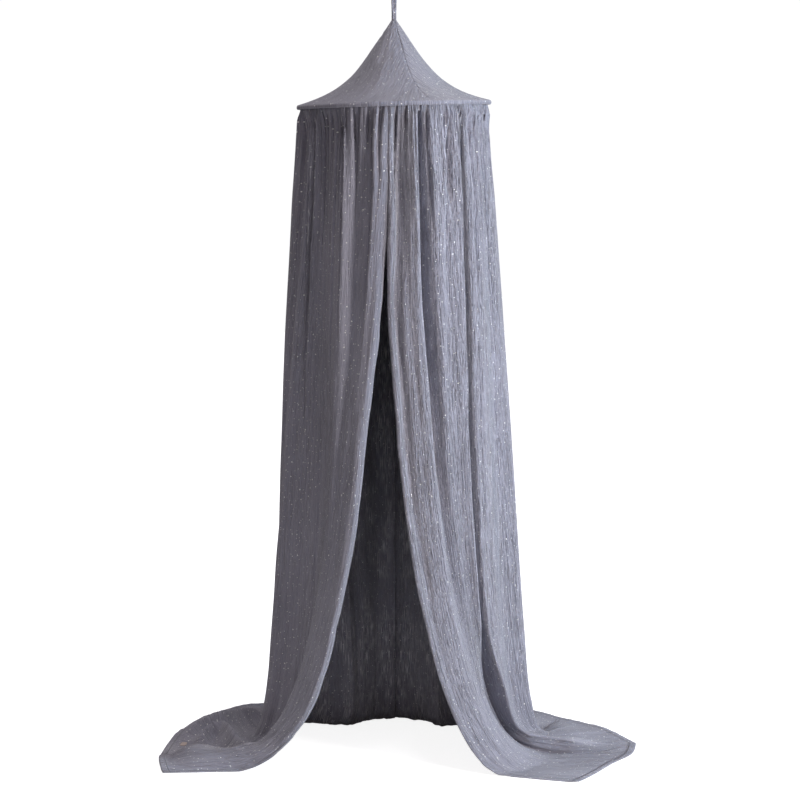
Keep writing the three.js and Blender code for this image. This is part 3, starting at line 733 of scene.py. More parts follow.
# Crown: three gores between the apex and the hoop, seamed together. The crown's line is part straight and
# part flared, and past its foot the cloth wraps round the hoop's casing.
crown_belly = 0.6
crown_flare = 6.5
gore_seams = [-97.5, 22.5, 142.5, 262.5]
gore_names = ["crown_front", "crown_right", "crown_back"]
gore_nodes = ["crown_gore_front", "crown_gore_right", "crown_gore_back"]
crown_top_radius = 0.0066
crown_foot_out = 0.00189
crown_foot_reach = 0.0054
crown_foot_lift = 0.0018
crown_foot_radius = hoop_radius + crown_foot_out
crown_foot_z = hoop_z + math.sqrt(crown_foot_reach**2 - crown_foot_out**2) + crown_foot_lift
wrap_share = 0.05
wrap_angle = math.radians(-50)
wrap_reach = 0.0056
wrap_length = 0.012
wrap_swiftness = 1.5
seam_gap = 0.0004
narrowest_radius = 0.004
gore_calm = 0.5
gore_seed, gore_seed_step = 90, 10

# Creases of the crown: height, and size round it and down it. Pinches and waves start below the apex, and the
# pinches lose a share of their height near the hoop.
crown_pinches = [(0.0008, math.radians(9), 0.12), (0.0005, math.radians(4), 0.08)]
crown_waves = (0.0012, math.radians(20), 0.05)
pinch_start_share, wave_start_share = 0.05, 0.2
pinches_lost_share = 0.6
pinch_loss_shares = (0.85, 0.15)

# Puckers along the crown's seams, how deep the seams are turned in, and the stretch at the foot where all
# creases end.
pucker_height, pucker_breadth = 0.0012, 0.012
pucker_sizes = (0.2, 0.012)
seam_depth, seam_breadth = 0.0018, 0.0016
crease_end_shares = (0.97, 0.03)

# How much of a crease in the crown goes outwards and how much upwards, and its run down a gore.
push_out, push_up = 0.9, 0.35
crease_run = 0.33

# Where the gores' mesh has its rows, as shares of the way down, and its columns, as shares between the seams.
gore_row_shares = [
    *np.linspace(0, 0.9, 54, endpoint=False), *np.linspace(0.9, 1, 13), *np.linspace(1.006, 1.05, 12),
]
gore_column_shares = [
    0, 0.0035, 0.008, 0.014, 0.022, *np.linspace(0.032, 0.968, 104), 0.978, 0.986, 0.992, 0.9965, 1,
]

# The flat gore that the gauze's grain follows: how far its tip lies from its centre, how long it is from
# there, and its angle as a share of the angle round the hoop.
flat_tip = 0.02
flat_side = 0.325
flat_angle_share = 0.70


def crown_line(s):
    """The crown's radius and height at share s of the way from the apex to the hoop."""
    flared = crown_belly * s + (1 - crown_belly) * s**crown_flare
    radius = crown_top_radius + (crown_foot_radius - crown_top_radius) * flared
    return radius, apex_z + (crown_foot_z - apex_z) * s


def crown_creases(azimuth, s, from_seam, seed):
    """Small pinches and waves of the stretched cloth, with puckers along the seams."""
    along = s * crease_run

    def creases(height, size_round, size_down, number):
        return height * soft_noise(azimuth, along, size_round, size_down, seed + number)

    broad, fine = crown_pinches
    pinches = (creases(*broad, 0) + creases(*fine, 1)) * rising(s, 0, pinch_start_share)
    pinches = pinches * (1 - pinches_lost_share * rising(s, *pinch_loss_shares))
    waves = creases(*crown_waves, 2) * rising(s, 0, wave_start_share)
    puckers = pucker_height * hump(from_seam, pucker_breadth)
    puckers = puckers * soft_noise(azimuth, along, *pucker_sizes, seed + 3)
    turned_in = seam_depth * hump(from_seam, seam_breadth)
    return (pinches + waves + puckers - turned_in) * fading(s, *crease_end_shares)


def crown_gore(name, start, end, seed):
    """One gore of the crown, turned in a little at both seams."""
    down, t = np.meshgrid(gore_row_shares, gore_column_shares, indexing="ij")
    s = np.minimum(down, 1)
    wrapped = np.maximum(down - 1, 0) / wrap_share
    azimuth = start + (end - start) * t
    slant = flat_tip + s * flat_side
    flat_angle = (azimuth - (start + end) / 2) * flat_angle_share
    uv = np.stack([slant * np.sin(flat_angle), slant * np.cos(flat_angle) + wrapped * wrap_length], 2)

    foot_up = crown_foot_z - hoop_z
    foot_angle, foot_reach = math.atan2(foot_up, crown_foot_out), math.hypot(foot_up, crown_foot_out)
    angle = foot_angle + (wrap_angle - foot_angle) * wrapped
    reach = foot_reach + (wrap_reach - foot_reach) * smooth_step(wrapped * wrap_swiftness)
    radius, z = crown_line(s)
    radius = np.where(wrapped > 0, hoop_radius + reach * np.cos(angle), radius)
    z = np.where(wrapped > 0, hoop_z + reach * np.sin(angle), z)
    from_seam = np.minimum(t, 1 - t) * (end - start) * radius
    push = crown_creases(azimuth, s, from_seam, seed)
    radius = radius - np.where(wrapped > 0, 0, cloth_thickness / 2) + push * push_out
    z = z + push * push_up

    slip = seam_gap / np.maximum(radius, narrowest_radius)
    azimuth = start + slip / 2 + (end - start - slip) * t
    points = tilt_with_hoop(np.stack([radius * np.sin(azimuth), -radius * np.cos(azimuth), z], 2))
    thickness = np.full(s.shape, cloth_thickness)
    return cloth_shell(name, points, -surface_normals(points), thickness, uv, gore_calm)


gores = []
for i, gore_name in enumerate(gore_names):
    seams = [math.radians(angle) for angle in gore_seams[i : i + 2]]
    gores.append(crown_gore(gore_name, *seams, gore_seed + gore_seed_step * i))


# Casing: the room round the rod, the cloth's outside there, and the flange on its inner side, where two plies
# meet, with how far round their ends are and where the flange and the room start.
casing_room = 0.0040
casing_outside = 0.0048
flange_top = -0.0013
flange_breadth = 0.0065
ply = 0.001
ply_gap = 0.0004
ply_end = 0.0004
flange_start = 0.0003
room_start = 0.0006

# Heading tape: its size, how far behind the heading's circle it lies, and its steps from top to bottom.
tape_height = 0.014
tape_thickness = 0.0012
tape_depth = 0.0037
tape_steps = 6

# Apex patch: its height, where it starts, how far below the gores its two faces lie, and which way that is.
patch_height = 0.026
patch_top_share = 0.3
patch_depths = (0.0028, 0.0041)
patch_inward, patch_downward = 0.83, 0.56
patch_wobble = 0.0003

# Small waves round a ring of cloth: how many go round in each of the swings that are added up.
ring_waves = (29, 47, 78, 103)


def turned_ring(name, outline, count, wobble=0.0, tilt=True):
    """A closed ring made by carrying an outline round the hoop's axis, with small waves in its cloth."""
    outline = np.array(outline)
    azimuth = np.linspace(0, 2 * math.pi, count, endpoint=False)
    rows = len(outline)
    away = outline - outline.mean(0)
    away = away / np.linalg.norm(away, axis=1, keepdims=True)
    rng = np.random.default_rng(7)
    swell = np.zeros(count)
    for waves in ring_waves:
        swell += np.cos(azimuth * waves + rng.uniform(0, 6.28)) * rng.uniform(0.5, 1)
    swell = swell / len(ring_waves)
    r, z = np.moveaxis(outline[:, None] + away[:, None] * wobble * swell[:, None], 2, 0)
    points = np.stack([r * np.sin(azimuth), -r * np.cos(azimuth), z], 2)
    if tilt:
        points = tilt_with_hoop(points)
    index = np.arange(rows * count).reshape(rows, count)
    right = np.roll(index, -1, 1)
    below = np.roll(index, -1, 0)
    corner = np.roll(right, -1, 0)
    faces = np.stack([index.ravel(), right.ravel(), corner.ravel(), below.ravel()], 1).tolist()
    steps = np.concatenate([[0], np.cumsum(np.linalg.norm(np.diff(outline, axis=0), axis=1))])
    down, round_hoop = np.meshgrid(steps, azimuth * hoop_radius, indexing="ij")
    return build_mesh(name, points.reshape(-1, 3), faces, np.stack([round_hoop, down], 2).reshape(-1, 2))


def casing_outline():
    """The casing's section: round the rod, and both edges in to the flange, with rounded ends."""
    upper_bottom = flange_top - ply
    lower_top = upper_bottom - ply_gap
    lower_bottom = lower_top - ply
    edge = -casing_room - flange_breadth

    def crossing(radius, z):
        return math.atan2(z, -math.sqrt(radius**2 - z**2))

    def arc(radius, start, end, count):
        return [(radius * math.cos(a), radius * math.sin(a)) for a in np.linspace(start, end, count)]

    whole_turn = 2 * math.pi
    flange_xs = np.linspace(edge, -casing_outside - flange_start, 6)
    outside_start = crossing(casing_outside, flange_top) + whole_turn
    outside_end = crossing(casing_outside, lower_bottom)
    room_end = crossing(casing_room, upper_bottom) + whole_turn
    points = [(x, flange_top) for x in flange_xs]
    points += arc(casing_outside, outside_start, outside_end, 34)
    points += [(x, lower_bottom) for x in flange_xs[::-1]]
    points += [(edge - ply_end, (lower_bottom + lower_top) / 2), (edge, lower_top)]
    points += [(-casing_room - room_start, lower_top)]
    points += arc(casing_room, crossing(casing_room, lower_top), room_end, 24)
    points += [(-casing_room - room_start, upper_bottom), (edge, upper_bottom)]
    points += [(edge - ply_end, (upper_bottom + flange_top) / 2)]
    return [(hoop_radius + x, hoop_z + z) for x, z in points]


def tape_outline():
    """The tape's section, with a few points down both faces."""
    outer = heading_radius - tape_depth
    inner = outer - tape_thickness
    drops = np.linspace(0, tape_height, tape_steps + 1)
    return [(outer, heading_z - drop) for drop in drops] + [(inner, heading_z - drop) for drop in drops[::-1]]


def patch_outline():
    """The section of the doubled cloth under the gores at the apex."""
    foot_share = patch_height / (apex_z - crown_foot_z)
    faces = []
    for depth in patch_depths:
        face = []
        for share in np.linspace(patch_top_share, 1, 9):
            r, z = crown_line(foot_share * share)
            face.append((r - depth * patch_inward, z - depth * patch_downward))
        faces.append(face)
    return faces[0] + faces[1][::-1]


casing = turned_ring("hoop_casing_cloth", casing_outline(), 480)
tape = turned_ring("heading_tape_woven", tape_outline(), 360)
patch = turned_ring("apex_patch_cloth", patch_outline(), 96, patch_wobble, tilt=False)

# Hanging loop: its bight's radius, its cloth tube and the tube's breadth on the gauze, its ends, its seam,
# the waves and grain of its cloth, how close its legs are at the root and how deep they go in.
loop_radius = 0.011
loop_cord = 0.00275
loop_tube = (0.0038, 0.0027)
loop_girth = 0.017
loop_tip_uv = 0.008
loop_tip = 0.0008
loop_sides = 20
loop_seam_angle = 0.6
loop_seam_share, loop_seam_breadth = 0.16, 0.25
loop_wave_share, loop_wave_pace = 0.05, 900
loop_grain_share = 0.03
leg_spread = 0.0024
leg_flare = 3.2
root_rise = 0.003
root_depth = 0.006


def loop_path():
    """The middle of the hanging loop: up one leg, over the top and down the other."""
    eye_z = -loop_radius + loop_cord
    root_z = apex_z + root_rise
    leg = [(leg_spread, root_z - root_depth)]
    for t in np.linspace(0, 1, 26, endpoint=False):
        leg.append((leg_spread + (loop_radius - leg_spread) * t**leg_flare, root_z + (eye_z - root_z) * t))
    half_turn = np.linspace(0, math.pi, 25)
    top = [(loop_radius * math.cos(a), eye_z + loop_radius * math.sin(a)) for a in half_turn]
    path = leg + top + [(-x, z) for x, z in reversed(leg)]
    return np.array([(x, 0, z) for x, z in path])


def sewn_tube(name, path, wide, deep):
    """A narrow tube of cloth, sewn flat along one side, that follows a path."""
    along = np.gradient(path, axis=0)
    along = along / np.linalg.norm(along, axis=1, keepdims=True)
    depth_way = np.array([0, 1, 0])
    across = np.cross(depth_way, along)
    across = across / np.linalg.norm(across, axis=1, keepdims=True)
    rng = np.random.default_rng(3)
    distance = np.concatenate([[0], np.cumsum(np.linalg.norm(np.diff(path, axis=0), axis=1))])
    lines = []
    for k in range(loop_sides):
        a = 2 * math.pi * k / loop_sides
        waves = np.sin(distance * loop_wave_pace + rng.uniform(0, 6.28))
        ripple = 1 + loop_wave_share * waves + loop_grain_share * rng.normal(size=len(path))
        from_seam = math.atan2(math.sin(a - loop_seam_angle), math.cos(a - loop_seam_angle))
        reach = (ripple * (1 - loop_seam_share * hump(from_seam, loop_seam_breadth)))[:, None]
        lines.append(path + across * (wide * math.cos(a) * reach) + depth_way * (deep * math.sin(a) * reach))
    rings = np.stack(lines, 1)
    tips = [path[0] - along[0] * loop_tip, path[-1] + along[-1] * loop_tip]
    down, round_tube = np.meshgrid(distance, np.arange(loop_sides) / loop_sides * loop_girth, indexing="ij")
    tips_uv = [[loop_tip_uv, 0], [loop_tip_uv, distance[-1]]]
    return closed_tube(name, rings, tips, np.stack([round_tube, down], 2), tips_uv)


# The loop's root and knot: radii and drops below the apex, down to the neck, and below the neck. Then the
# strands that its winding shows: how many, how deep, how twisted and from what radius on.
root_profile = [(0.0006, -0.0034), (0.0030, -0.0033), (0.0043, -0.0022), (0.0047, -0.0005)]
knot_profile = [
    (0.0047, 0), (0.0080, 0.0028), (0.0100, 0.0052), (0.0108, 0.0080), (0.0098, 0.0110),
    (0.0070, 0.0135), (0.0030, 0.0148), (0.0006, 0.0150),
]
knot_neck = patch_height * patch_top_share + 0.0012
strands = 3
strand_depth = 0.10
strand_twist = 420
strand_radii = (0.001, 0.003)
knot_tip = 0.0002
knot_least_radius = 0.0004
knot_cloth_radius = 0.01


def wound_knot(name):
    """The loop's root, wound tight where it enters the apex, and the knot that holds it from inside."""
    profile = [(r, apex_z - drop) for r, drop in root_profile]
    profile += [(root_profile[-1][0], apex_z - knot_neck / 2)]
    profile += [(r, apex_z - knot_neck - drop) for r, drop in knot_profile]
    fine = np.linspace(0, len(profile) - 1, 60)
    r, z = (curve_weights(len(profile), fine) @ np.array(profile)).T
    count = 64
    azimuth = np.linspace(0, 2 * math.pi, count, endpoint=False)
    r = np.maximum(r, knot_least_radius)[:, None]
    groove = 0.5 + 0.5 * np.sin(strands * azimuth + (z[:, None] - apex_z) * strand_twist)
    wound = r * (1 - strand_depth * groove * rising(r, *strand_radii))
    heights = np.broadcast_to(z[:, None], wound.shape)
    rings = np.stack([wound * np.sin(azimuth), -wound * np.cos(azimuth), heights], 2)
    uv = np.stack([np.broadcast_to(azimuth * knot_cloth_radius, wound.shape), heights], 2)
    tips = [[0, 0, z[0] + knot_tip], [0, 0, z[-1] - knot_tip]]
    return closed_tube(name, rings, tips, uv, [[0, apex_z], [0, apex_z - 0.02]])


loop = sewn_tube("hanging_loop_cloth", loop_path(), *loop_tube)
knot = wound_knot("loop_knot")

# Blank label: its size, its corners and edges, its place on the floor plan and its gap to the cloth's middle.
label_size = (0.030, 0.016, 0.0012)
label_corner = 0.005
label_edge = 0.0003
label_plan = (-0.574, -0.035)
label_lift = 0.0009


def cloth_place(points, normals, x, y):
    """The place on a cloth's surface that is nearest to a point of the floor plan, and its directions."""
    gap = np.hypot(points[..., 0] - x, points[..., 1] - y)
    i, j = np.unravel_index(np.argmin(gap), gap.shape)
    i = min(max(i, 2), points.shape[0] - 3)
    j = min(max(j, 2), points.shape[1] - 3)
    up = normals[i - 2 : i + 3, j - 2 : j + 3].reshape(-1, 3).mean(0)
    along = points[i, j + 2] - points[i, j - 2]
    up = up / np.linalg.norm(up)
    along = along - up * (along @ up)
    return points[i, j], up, along / np.linalg.norm(along)


def leather_tab(name, place, up, along):
    """A small plain leather tab with rounded corners, flat on the cloth."""
    bpy.ops.mesh.primitive_cube_add(size=1)
    tab = bpy.context.object
    tab.name = name
    tab.data.name = name
    tab.scale = label_size
    bpy.ops.object.transform_apply(location=False, rotation=False, scale=True)
    corner = tab.modifiers.new("corner", "BEVEL")
    corner.width = label_corner
    corner.segments = 6
    corner.affect = "EDGES"
    corner.limit_method = "WEIGHT"
    weights = tab.data.attributes.new("bevel_weight_edge", "FLOAT", "EDGE")
    for k, edge in enumerate(tab.data.edges):
        a, b = (tab.data.vertices[v].co for v in edge.vertices)
        weights.data[k].value = 1.0 if abs(a.z - b.z) > label_size[2] / 2 else 0.0
    bpy.ops.object.modifier_apply(modifier="corner")
    soften = tab.modifiers.new("soften", "BEVEL")
    soften.width = label_edge
    soften.segments = 2
    soften.limit_method = "ANGLE"
    bpy.ops.object.modifier_apply(modifier="soften")
    bpy.ops.object.shade_smooth_by_angle(angle=math.radians(40))
    turn = np.stack([along, np.cross(up, along), up], 1)
    seat = place + up * (label_size[2] / 2 + label_lift)
    for vertex in tab.data.vertices:
        vertex.co = Vector(seat + turn @ np.array(vertex.co))
    tab.data.update()
    bpy.ops.object.select_all(action="DESELECT")
    return tab


label = leather_tab("leather_label", *cloth_place(left_points, left_normals, *label_plan))


# Materials
class Nodes:
    """Short ways to add nodes to a tree."""

    def __init__(self, tree):
        self.tree = tree

    def add(self, kind, **settings):
        node = self.tree.nodes.new(kind)
        for key, value in settings.items():
            setattr(node, key, value)
        return node

    def link(self, a, b):
        self.tree.links.new(a, b)

    def feed(self, socket, value):
        if isinstance(value, (int, float, tuple, list)):
            socket.default_value = value
        else:
            self.link(value, socket)

    def math(self, operation, a, b=0.0, c=0.0):
        node = self.add("ShaderNodeMath", operation=operation)
        for socket, value in zip(node.inputs, (a, b, c)):
            self.feed(socket, value)
        return node.outputs[0]

    def plus(self, a, b):
        return self.math("ADD", a, b)

    def minus(self, a, b):
        return self.math("SUBTRACT", a, b)

    def times(self, a, b):
        return self.math("MULTIPLY", a, b)

    def most(self, a, b):
        return b if a is None else self.math("MAXIMUM", a, b)

    def ramp(self, value, low, high, to_low=0.0, to_high=1.0):
        node = self.add("ShaderNodeMapRange", interpolation_type="SMOOTHSTEP")
        self.feed(node.inputs["Value"], value)
        node.inputs["From Min"].default_value = low
        node.inputs["From Max"].default_value = high
        node.inputs["To Min"].default_value = to_low
        node.inputs["To Max"].default_value = to_high
        return node.outputs["Result"]

    def scaled(self, vector, scale, shift=(0, 0, 0)):
        node = self.add("ShaderNodeMapping")
        self.feed(node.inputs["Vector"], vector)
        node.inputs["Scale"].default_value = scale
        node.inputs["Location"].default_value = shift
        return node.outputs["Vector"]

    def noise(self, vector, detail=2.0, roughness=0.5, distortion=0.0):
        node = self.add("ShaderNodeTexNoise")
        self.feed(node.inputs["Vector"], vector)
        node.inputs["Scale"].default_value = 1.0
        node.inputs["Detail"].default_value = detail
        node.inputs["Roughness"].default_value = roughness
        node.inputs["Distortion"].default_value = distortion
        return node.outputs["Fac"]

    def ridges(self, noise, width):
        """1 along the lines where a noise crosses its middle, 0 past their width."""
        return self.ramp(self.math("ABSOLUTE", self.minus(noise, 0.5)), 0.0, width, 1.0, 0.0)

    def mix(self, factor, a, b):
        node = self.add("ShaderNodeMix", data_type="RGBA", blend_type="MIX")
        self.feed(node.inputs["Factor"], factor)
        self.feed(node.inputs["A"], a)
        self.feed(node.inputs["B"], b)
        return node.outputs["Result"]

    def value_of(self, attribute):
        return self.add("ShaderNodeAttribute", attribute_name=attribute).outputs["Fac"]

    def group(self, tree, place):
        node = self.add("ShaderNodeGroup")
        node.node_tree = tree
        self.link(place, node.inputs["Place"])
        return node.outputs

    def bump(self, height, strength, distance, shader):
        node = self.add("ShaderNodeBump")
        node.inputs["Strength"].default_value = strength
        node.inputs["Distance"].default_value = distance
        self.link(height, node.inputs["Height"])
        self.link(node.outputs["Normal"], shader.inputs["Normal"])


def new_group(name, outputs):
    """A node group that reads a place on the cloth and puts out the named values."""
    group = bpy.data.node_groups.new(name, "ShaderNodeTree")
    group.interface.new_socket("Place", in_out="INPUT", socket_type="NodeSocketVector")
    for output in outputs:
        group.interface.new_socket(output, in_out="OUTPUT", socket_type="NodeSocketFloat")
    n = Nodes(group)
    place = group.nodes.new("NodeGroupInput").outputs["Place"]
    return group, n, place, group.nodes.new("NodeGroupOutput").inputs


def new_material(name):
    material = bpy.data.materials.new(name)
    material.use_nodes = True
    return material, Nodes(material.node_tree), material.node_tree.nodes["Principled BSDF"]


# Cells of the gauze's uneven patterns for each metre across and down the cloth.
broad_crinkles = (120, 7, 1)
fine_crinkles = (260, 17, 1)
small_puckers = (330, 200, 1)
crinkle_patches = (9, 3, 1)
lengthwise_threads = (620, 90, 1)
crosswise_threads = (110, 700, 1)
colour_clouds = (4, 2, 1)
shining_threads = (330, 26, 1)
shining_patches = (14, 5, 1)
dot_clusters = (6, 6, 1)


def crinkle_group():
    """Fine crinkles of double gauze: narrow uneven ridges down the cloth, with the weave between them. Its
    second output is painted shade, darker in the crinkles' hollows and paler on their ridges, with the
    weave's own tone.
    """
    group, n, place, outputs = new_group("gauze crinkle", ["Height", "Painted shade and weave"])
    broad = n.ridges(n.noise(n.scaled(place, broad_crinkles), 2.0, 0.55, 0.4), 0.16)
    fine = n.ridges(n.noise(n.scaled(place, fine_crinkles, (3, 7, 0)), 2.0, 0.6, 0.6), 0.14)
    pucker = n.noise(n.scaled(place, small_puckers, (1, 5, 0)), 2.0, 0.5)
    patchy = n.noise(n.scaled(place, crinkle_patches, (5, 2, 0)), 1.0, 0.5)
    patchy = n.ramp(patchy, 0.35, 0.65, 0.55, 1.0)
    crinkles = n.times(n.plus(n.times(broad, 0.6), n.times(fine, 0.5)), patchy)
    along = n.noise(n.scaled(place, lengthwise_threads, (2, 9, 0)), 1.0, 0.5)
    across = n.noise(n.scaled(place, crosswise_threads, (8, 4, 0)), 1.0, 0.5)
    weave = n.plus(n.times(along, 0.6), n.times(across, 0.4))
    height = n.plus(n.plus(crinkles, n.times(pucker, 0.35)), n.times(weave, 0.22))
    n.link(height, outputs["Height"])
    # Painted shade: the tone follows the crinkles' height, darker in their hollows and paler on their ridges,
    # and the weave adds its own tone.
    n.link(n.plus(n.times(height, 0.5), n.times(n.minus(weave, 0.5), 1.1)), outputs["Painted shade and weave"])
    return group


# Printed dots, small and large: their spacing and radius, the shift of their pattern and how many are kept.
dot_patterns = [(0.020, 0.0010, 0.0, 0.80), (0.032, 0.0015, 5.3, 0.60)]


def dots_group():
    """Small printed dots, scattered unevenly."""
    group, n, place, outputs = new_group("scattered dots", ["Dot", "Strength"])
    found = strength = None
    for spacing, radius, shift, keep in dot_patterns:
        scale = 1 / spacing
        cells = n.add("ShaderNodeTexVoronoi", voronoi_dimensions="2D", feature="F1")
        n.feed(cells.inputs["Vector"], n.scaled(place, (scale, scale, 1), (shift, shift * 0.7, 0)))
        cells.inputs["Scale"].default_value = 1.0
        cells.inputs["Randomness"].default_value = 1.0
        chance = n.add("ShaderNodeSeparateColor")
        n.link(cells.outputs["Color"], chance.inputs["Color"])
        cluster = n.noise(n.scaled(place, dot_clusters, (shift, 1, 0)), 1.0)
        kept = n.math("LESS_THAN", chance.outputs["Red"], n.ramp(cluster, 0.35, 0.68, keep * 0.4, keep * 1.7))
        size = n.times(n.plus(n.times(chance.outputs["Green"], 0.5), 0.75), radius * scale)
        dot = n.times(n.math("LESS_THAN", cells.outputs["Distance"], size), kept)
        bright = n.times(dot, n.plus(n.times(chance.outputs["Blue"], 0.45), 0.55))
        found = n.most(found, dot)
        strength = n.most(strength, bright)
    n.link(found, outputs["Dot"])
    n.link(strength, outputs["Strength"])
    return group


def shine_group():
    """Clouds in the gauze's tone, and pale threads of painted light where light would come through the cloth.
    """
    group, n, place, outputs = new_group("clouds and shine", ["Cloud", "Shine"])
    threads = n.noise(n.scaled(place, shining_threads, (6, 1, 0)), 2.0, 0.65)
    patches = n.noise(n.scaled(place, shining_patches, (1, 8, 0)), 1.0, 0.5)
    shine = n.times(n.ramp(threads, 0.46, 0.70), n.ramp(patches, 0.36, 0.62, 0.15, 1.0))
    n.link(n.noise(n.scaled(place, colour_clouds), 3.0, 0.5), outputs["Cloud"])
    n.link(shine, outputs["Shine"])
    return group


def grain_group():
    """The fine unevenness of a plain surface."""
    group, n, place, outputs = new_group("fine grain", ["Grain"])
    n.link(n.noise(place, 4.0, 0.55), outputs["Grain"])
    return group


# Stitches: half the groove's breadth, half the thread's, and the length of one stitch with its gap.
groove_edge = (0.0002, 0.0016)
thread_edge = (0.0003, 0.0005)
stitch_length = 0.0032


def stitch_group():
    """A line of stitches and the groove they pull, along the front edge and the bottom hem."""
    group, n, place, outputs = new_group("hem stitches", ["Groove", "Thread"])
    parts = n.add("ShaderNodeSeparateXYZ")
    n.link(place, parts.inputs[0])
    u, v = parts.outputs["X"], parts.outputs["Y"]
    groove = thread = None
    for from_edge, along in ((u, v), (n.minus(skirt_length, v), u)):
        gap = n.math("ABSOLUTE", n.minus(from_edge, stitch_line))
        wave = n.math("SINE", n.times(along, 2 * math.pi / stitch_length))
        stitch = n.times(n.ramp(gap, *thread_edge, 1.0, 0.0), n.ramp(wave, -0.3, 0.0, 0.0, 1.0))
        groove = n.most(groove, n.ramp(gap, *groove_edge, 1.0, 0.0))
        thread = n.most(thread, stitch)
    n.link(groove, outputs["Groove"])
    n.link(thread, outputs["Thread"])
    return group


crinkle = crinkle_group()
dots = dots_group()
lit_threads = shine_group()
fine_grain = grain_group()
stitches = stitch_group()

gauze_dark = (0.145, 0.141, 0.172, 1)
gauze_pale = (0.365, 0.357, 0.425, 1)
groove_shade_colour = (0.12, 0.115, 0.14, 1)
thread_colour = (0.42, 0.41, 0.46, 1)
painted_light_colour = (0.80, 0.79, 0.80, 1)
dot_colour = (0.97, 0.96, 0.93, 1)

# The gauze's tone: its middle, how much the painted shade of its crinkles, with the weave's tone, and its
# clouds change it, what crinkled gauze gains and what smooth gauze has, smooth gauze being painted darker as
# painted shade in place of the shading its crinkles would give. Then the depth of its crinkles, the stitches'
# groove and thread as shares of it, how strongly the groove is darkened as painted shade and the thread
# tinted, and how strongly painted light through the cloth shows in the threads of the inner face.
middle_tone = 0.36
crinkle_shade_and_weave_strength = 0.7
cloud_strength = 0.35
crinkled_gain, smooth_tone = 0.17, 0.08
crinkle_depth = 0.0048
groove_share, thread_share = 1.2, 0.5
groove_shade_strength, thread_tint = 0.25, 0.6
painted_light_strength = 0.85


def gauze(name, hems):
    """Soft grey-lilac double gauze with small pale dots."""
    material, n, shader = new_material(name)
    place = n.add("ShaderNodeUVMap", uv_map="cloth").outputs["UV"]
    folds = n.group(crinkle, place)
    spots = n.group(dots, place)
    lit = n.group(lit_threads, place)
    crinkled = n.minus(1.0, n.value_of("calm"))
    # Painted shade of the crinkles, with the weave's own tone.
    crinkle_shade_and_weave = n.times(n.minus(folds["Painted shade and weave"], middle_tone), crinkled)
    tone = n.plus(n.times(crinkle_shade_and_weave, crinkle_shade_and_weave_strength), n.times(lit["Cloud"], cloud_strength))
    # Painted shade: smooth gauze gets a darker tone than crinkled gauze, in place of the shading its missing
    # crinkles would give.
    tone = n.plus(tone, n.math("MULTIPLY_ADD", crinkled, crinkled_gain, smooth_tone))
    colour = n.mix(n.ramp(tone, 0.05, 0.75), gauze_dark, gauze_pale)
    height = n.times(folds["Height"], crinkled)
    if hems:
        seam = n.group(stitches, place)
        height = n.minus(height, n.times(seam["Groove"], groove_share))
        height = n.plus(height, n.times(seam["Thread"], thread_share))
        # Painted shade: the groove the stitches pull is darkened in colour as well as sunk by the bump.
        colour = n.mix(n.times(seam["Groove"], groove_shade_strength), colour, groove_shade_colour)
        colour = n.mix(n.times(seam["Thread"], thread_tint), colour, thread_colour)

    # Painted light: only the inner face has the pale threads where light would come through the cloth.
    shine = n.times(lit["Shine"], n.times(n.value_of("inside"), painted_light_strength))
    colour = n.mix(shine, colour, painted_light_colour)
    n.link(n.mix(spots["Strength"], colour, dot_colour), shader.inputs["Base Color"])
    n.link(n.ramp(spots["Dot"], 0.0, 1.0, 0.94, 0.45), shader.inputs["Roughness"])
    shader.inputs["Specular IOR Level"].default_value = 0.2
    shader.inputs["Sheen Weight"].default_value = 0.25
    shader.inputs["Sheen Roughness"].default_value = 0.6
    n.bump(height, 1.0, crinkle_depth, shader)
    return material


def plain_material(name, dark, pale, roughness, metallic, scale, bump_depth):
    """A plain surface with a little unevenness in its tone and height."""
    material, n, shader = new_material(name)
    place = n.add("ShaderNodeTexCoord").outputs["Object"]
    grain = n.group(fine_grain, n.scaled(place, scale))["Grain"]
    n.link(n.mix(n.ramp(grain, 0.3, 0.7), (*dark, 1), (*pale, 1)), shader.inputs["Base Color"])
    n.link(n.ramp(grain, 0.3, 0.7, roughness * 0.85, min(roughness * 1.15, 1.0)), shader.inputs["Roughness"])
    shader.inputs["Metallic"].default_value = metallic
    n.bump(grain, 0.6, bump_depth, shader)
    return material


skirt_gauze = gauze("gauze_hemmed", True)
crown_gauze = gauze("gauze_plain", False)
tape_look = plain_material(
    "woven_tape", (0.22, 0.215, 0.245), (0.33, 0.32, 0.36), 0.9, 0.0, (900, 900, 900), 0.0003
)
rod_look = plain_material(
    "glass_fibre_rod", (0.62, 0.60, 0.55), (0.74, 0.72, 0.67), 0.45, 0.0, (300, 300, 60), 0.0001
)
ferrule_look = plain_material(
    "brass_sleeve", (0.42, 0.31, 0.13), (0.55, 0.42, 0.19), 0.3, 1.0, (500, 500, 500), 0.0001
)
leather_look = plain_material(
    "leather", (0.38, 0.295, 0.26), (0.52, 0.435, 0.395), 0.5, 0.0, (700, 700, 700), 0.0003
)

skirt = (skirt_left, skirt_right)
other_gauze = (*gores, casing, patch, loop, knot)
hoop_looks = {
    "hoop_rod_left": rod_look,
    "hoop_rod_right": rod_look,
    "hoop_ferrule_front": ferrule_look,
    "hoop_ferrule_back": ferrule_look,
}
for piece in skirt:
    piece.data.materials.append(skirt_gauze)
for piece in other_gauze:
    piece.data.materials.append(crown_gauze)
tape.data.materials.append(tape_look)
label.data.materials.append(leather_look)
for node_name, look in hoop_looks.items():
    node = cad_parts[node_name]
    node.data.materials.clear()
    node.data.materials.append(look)


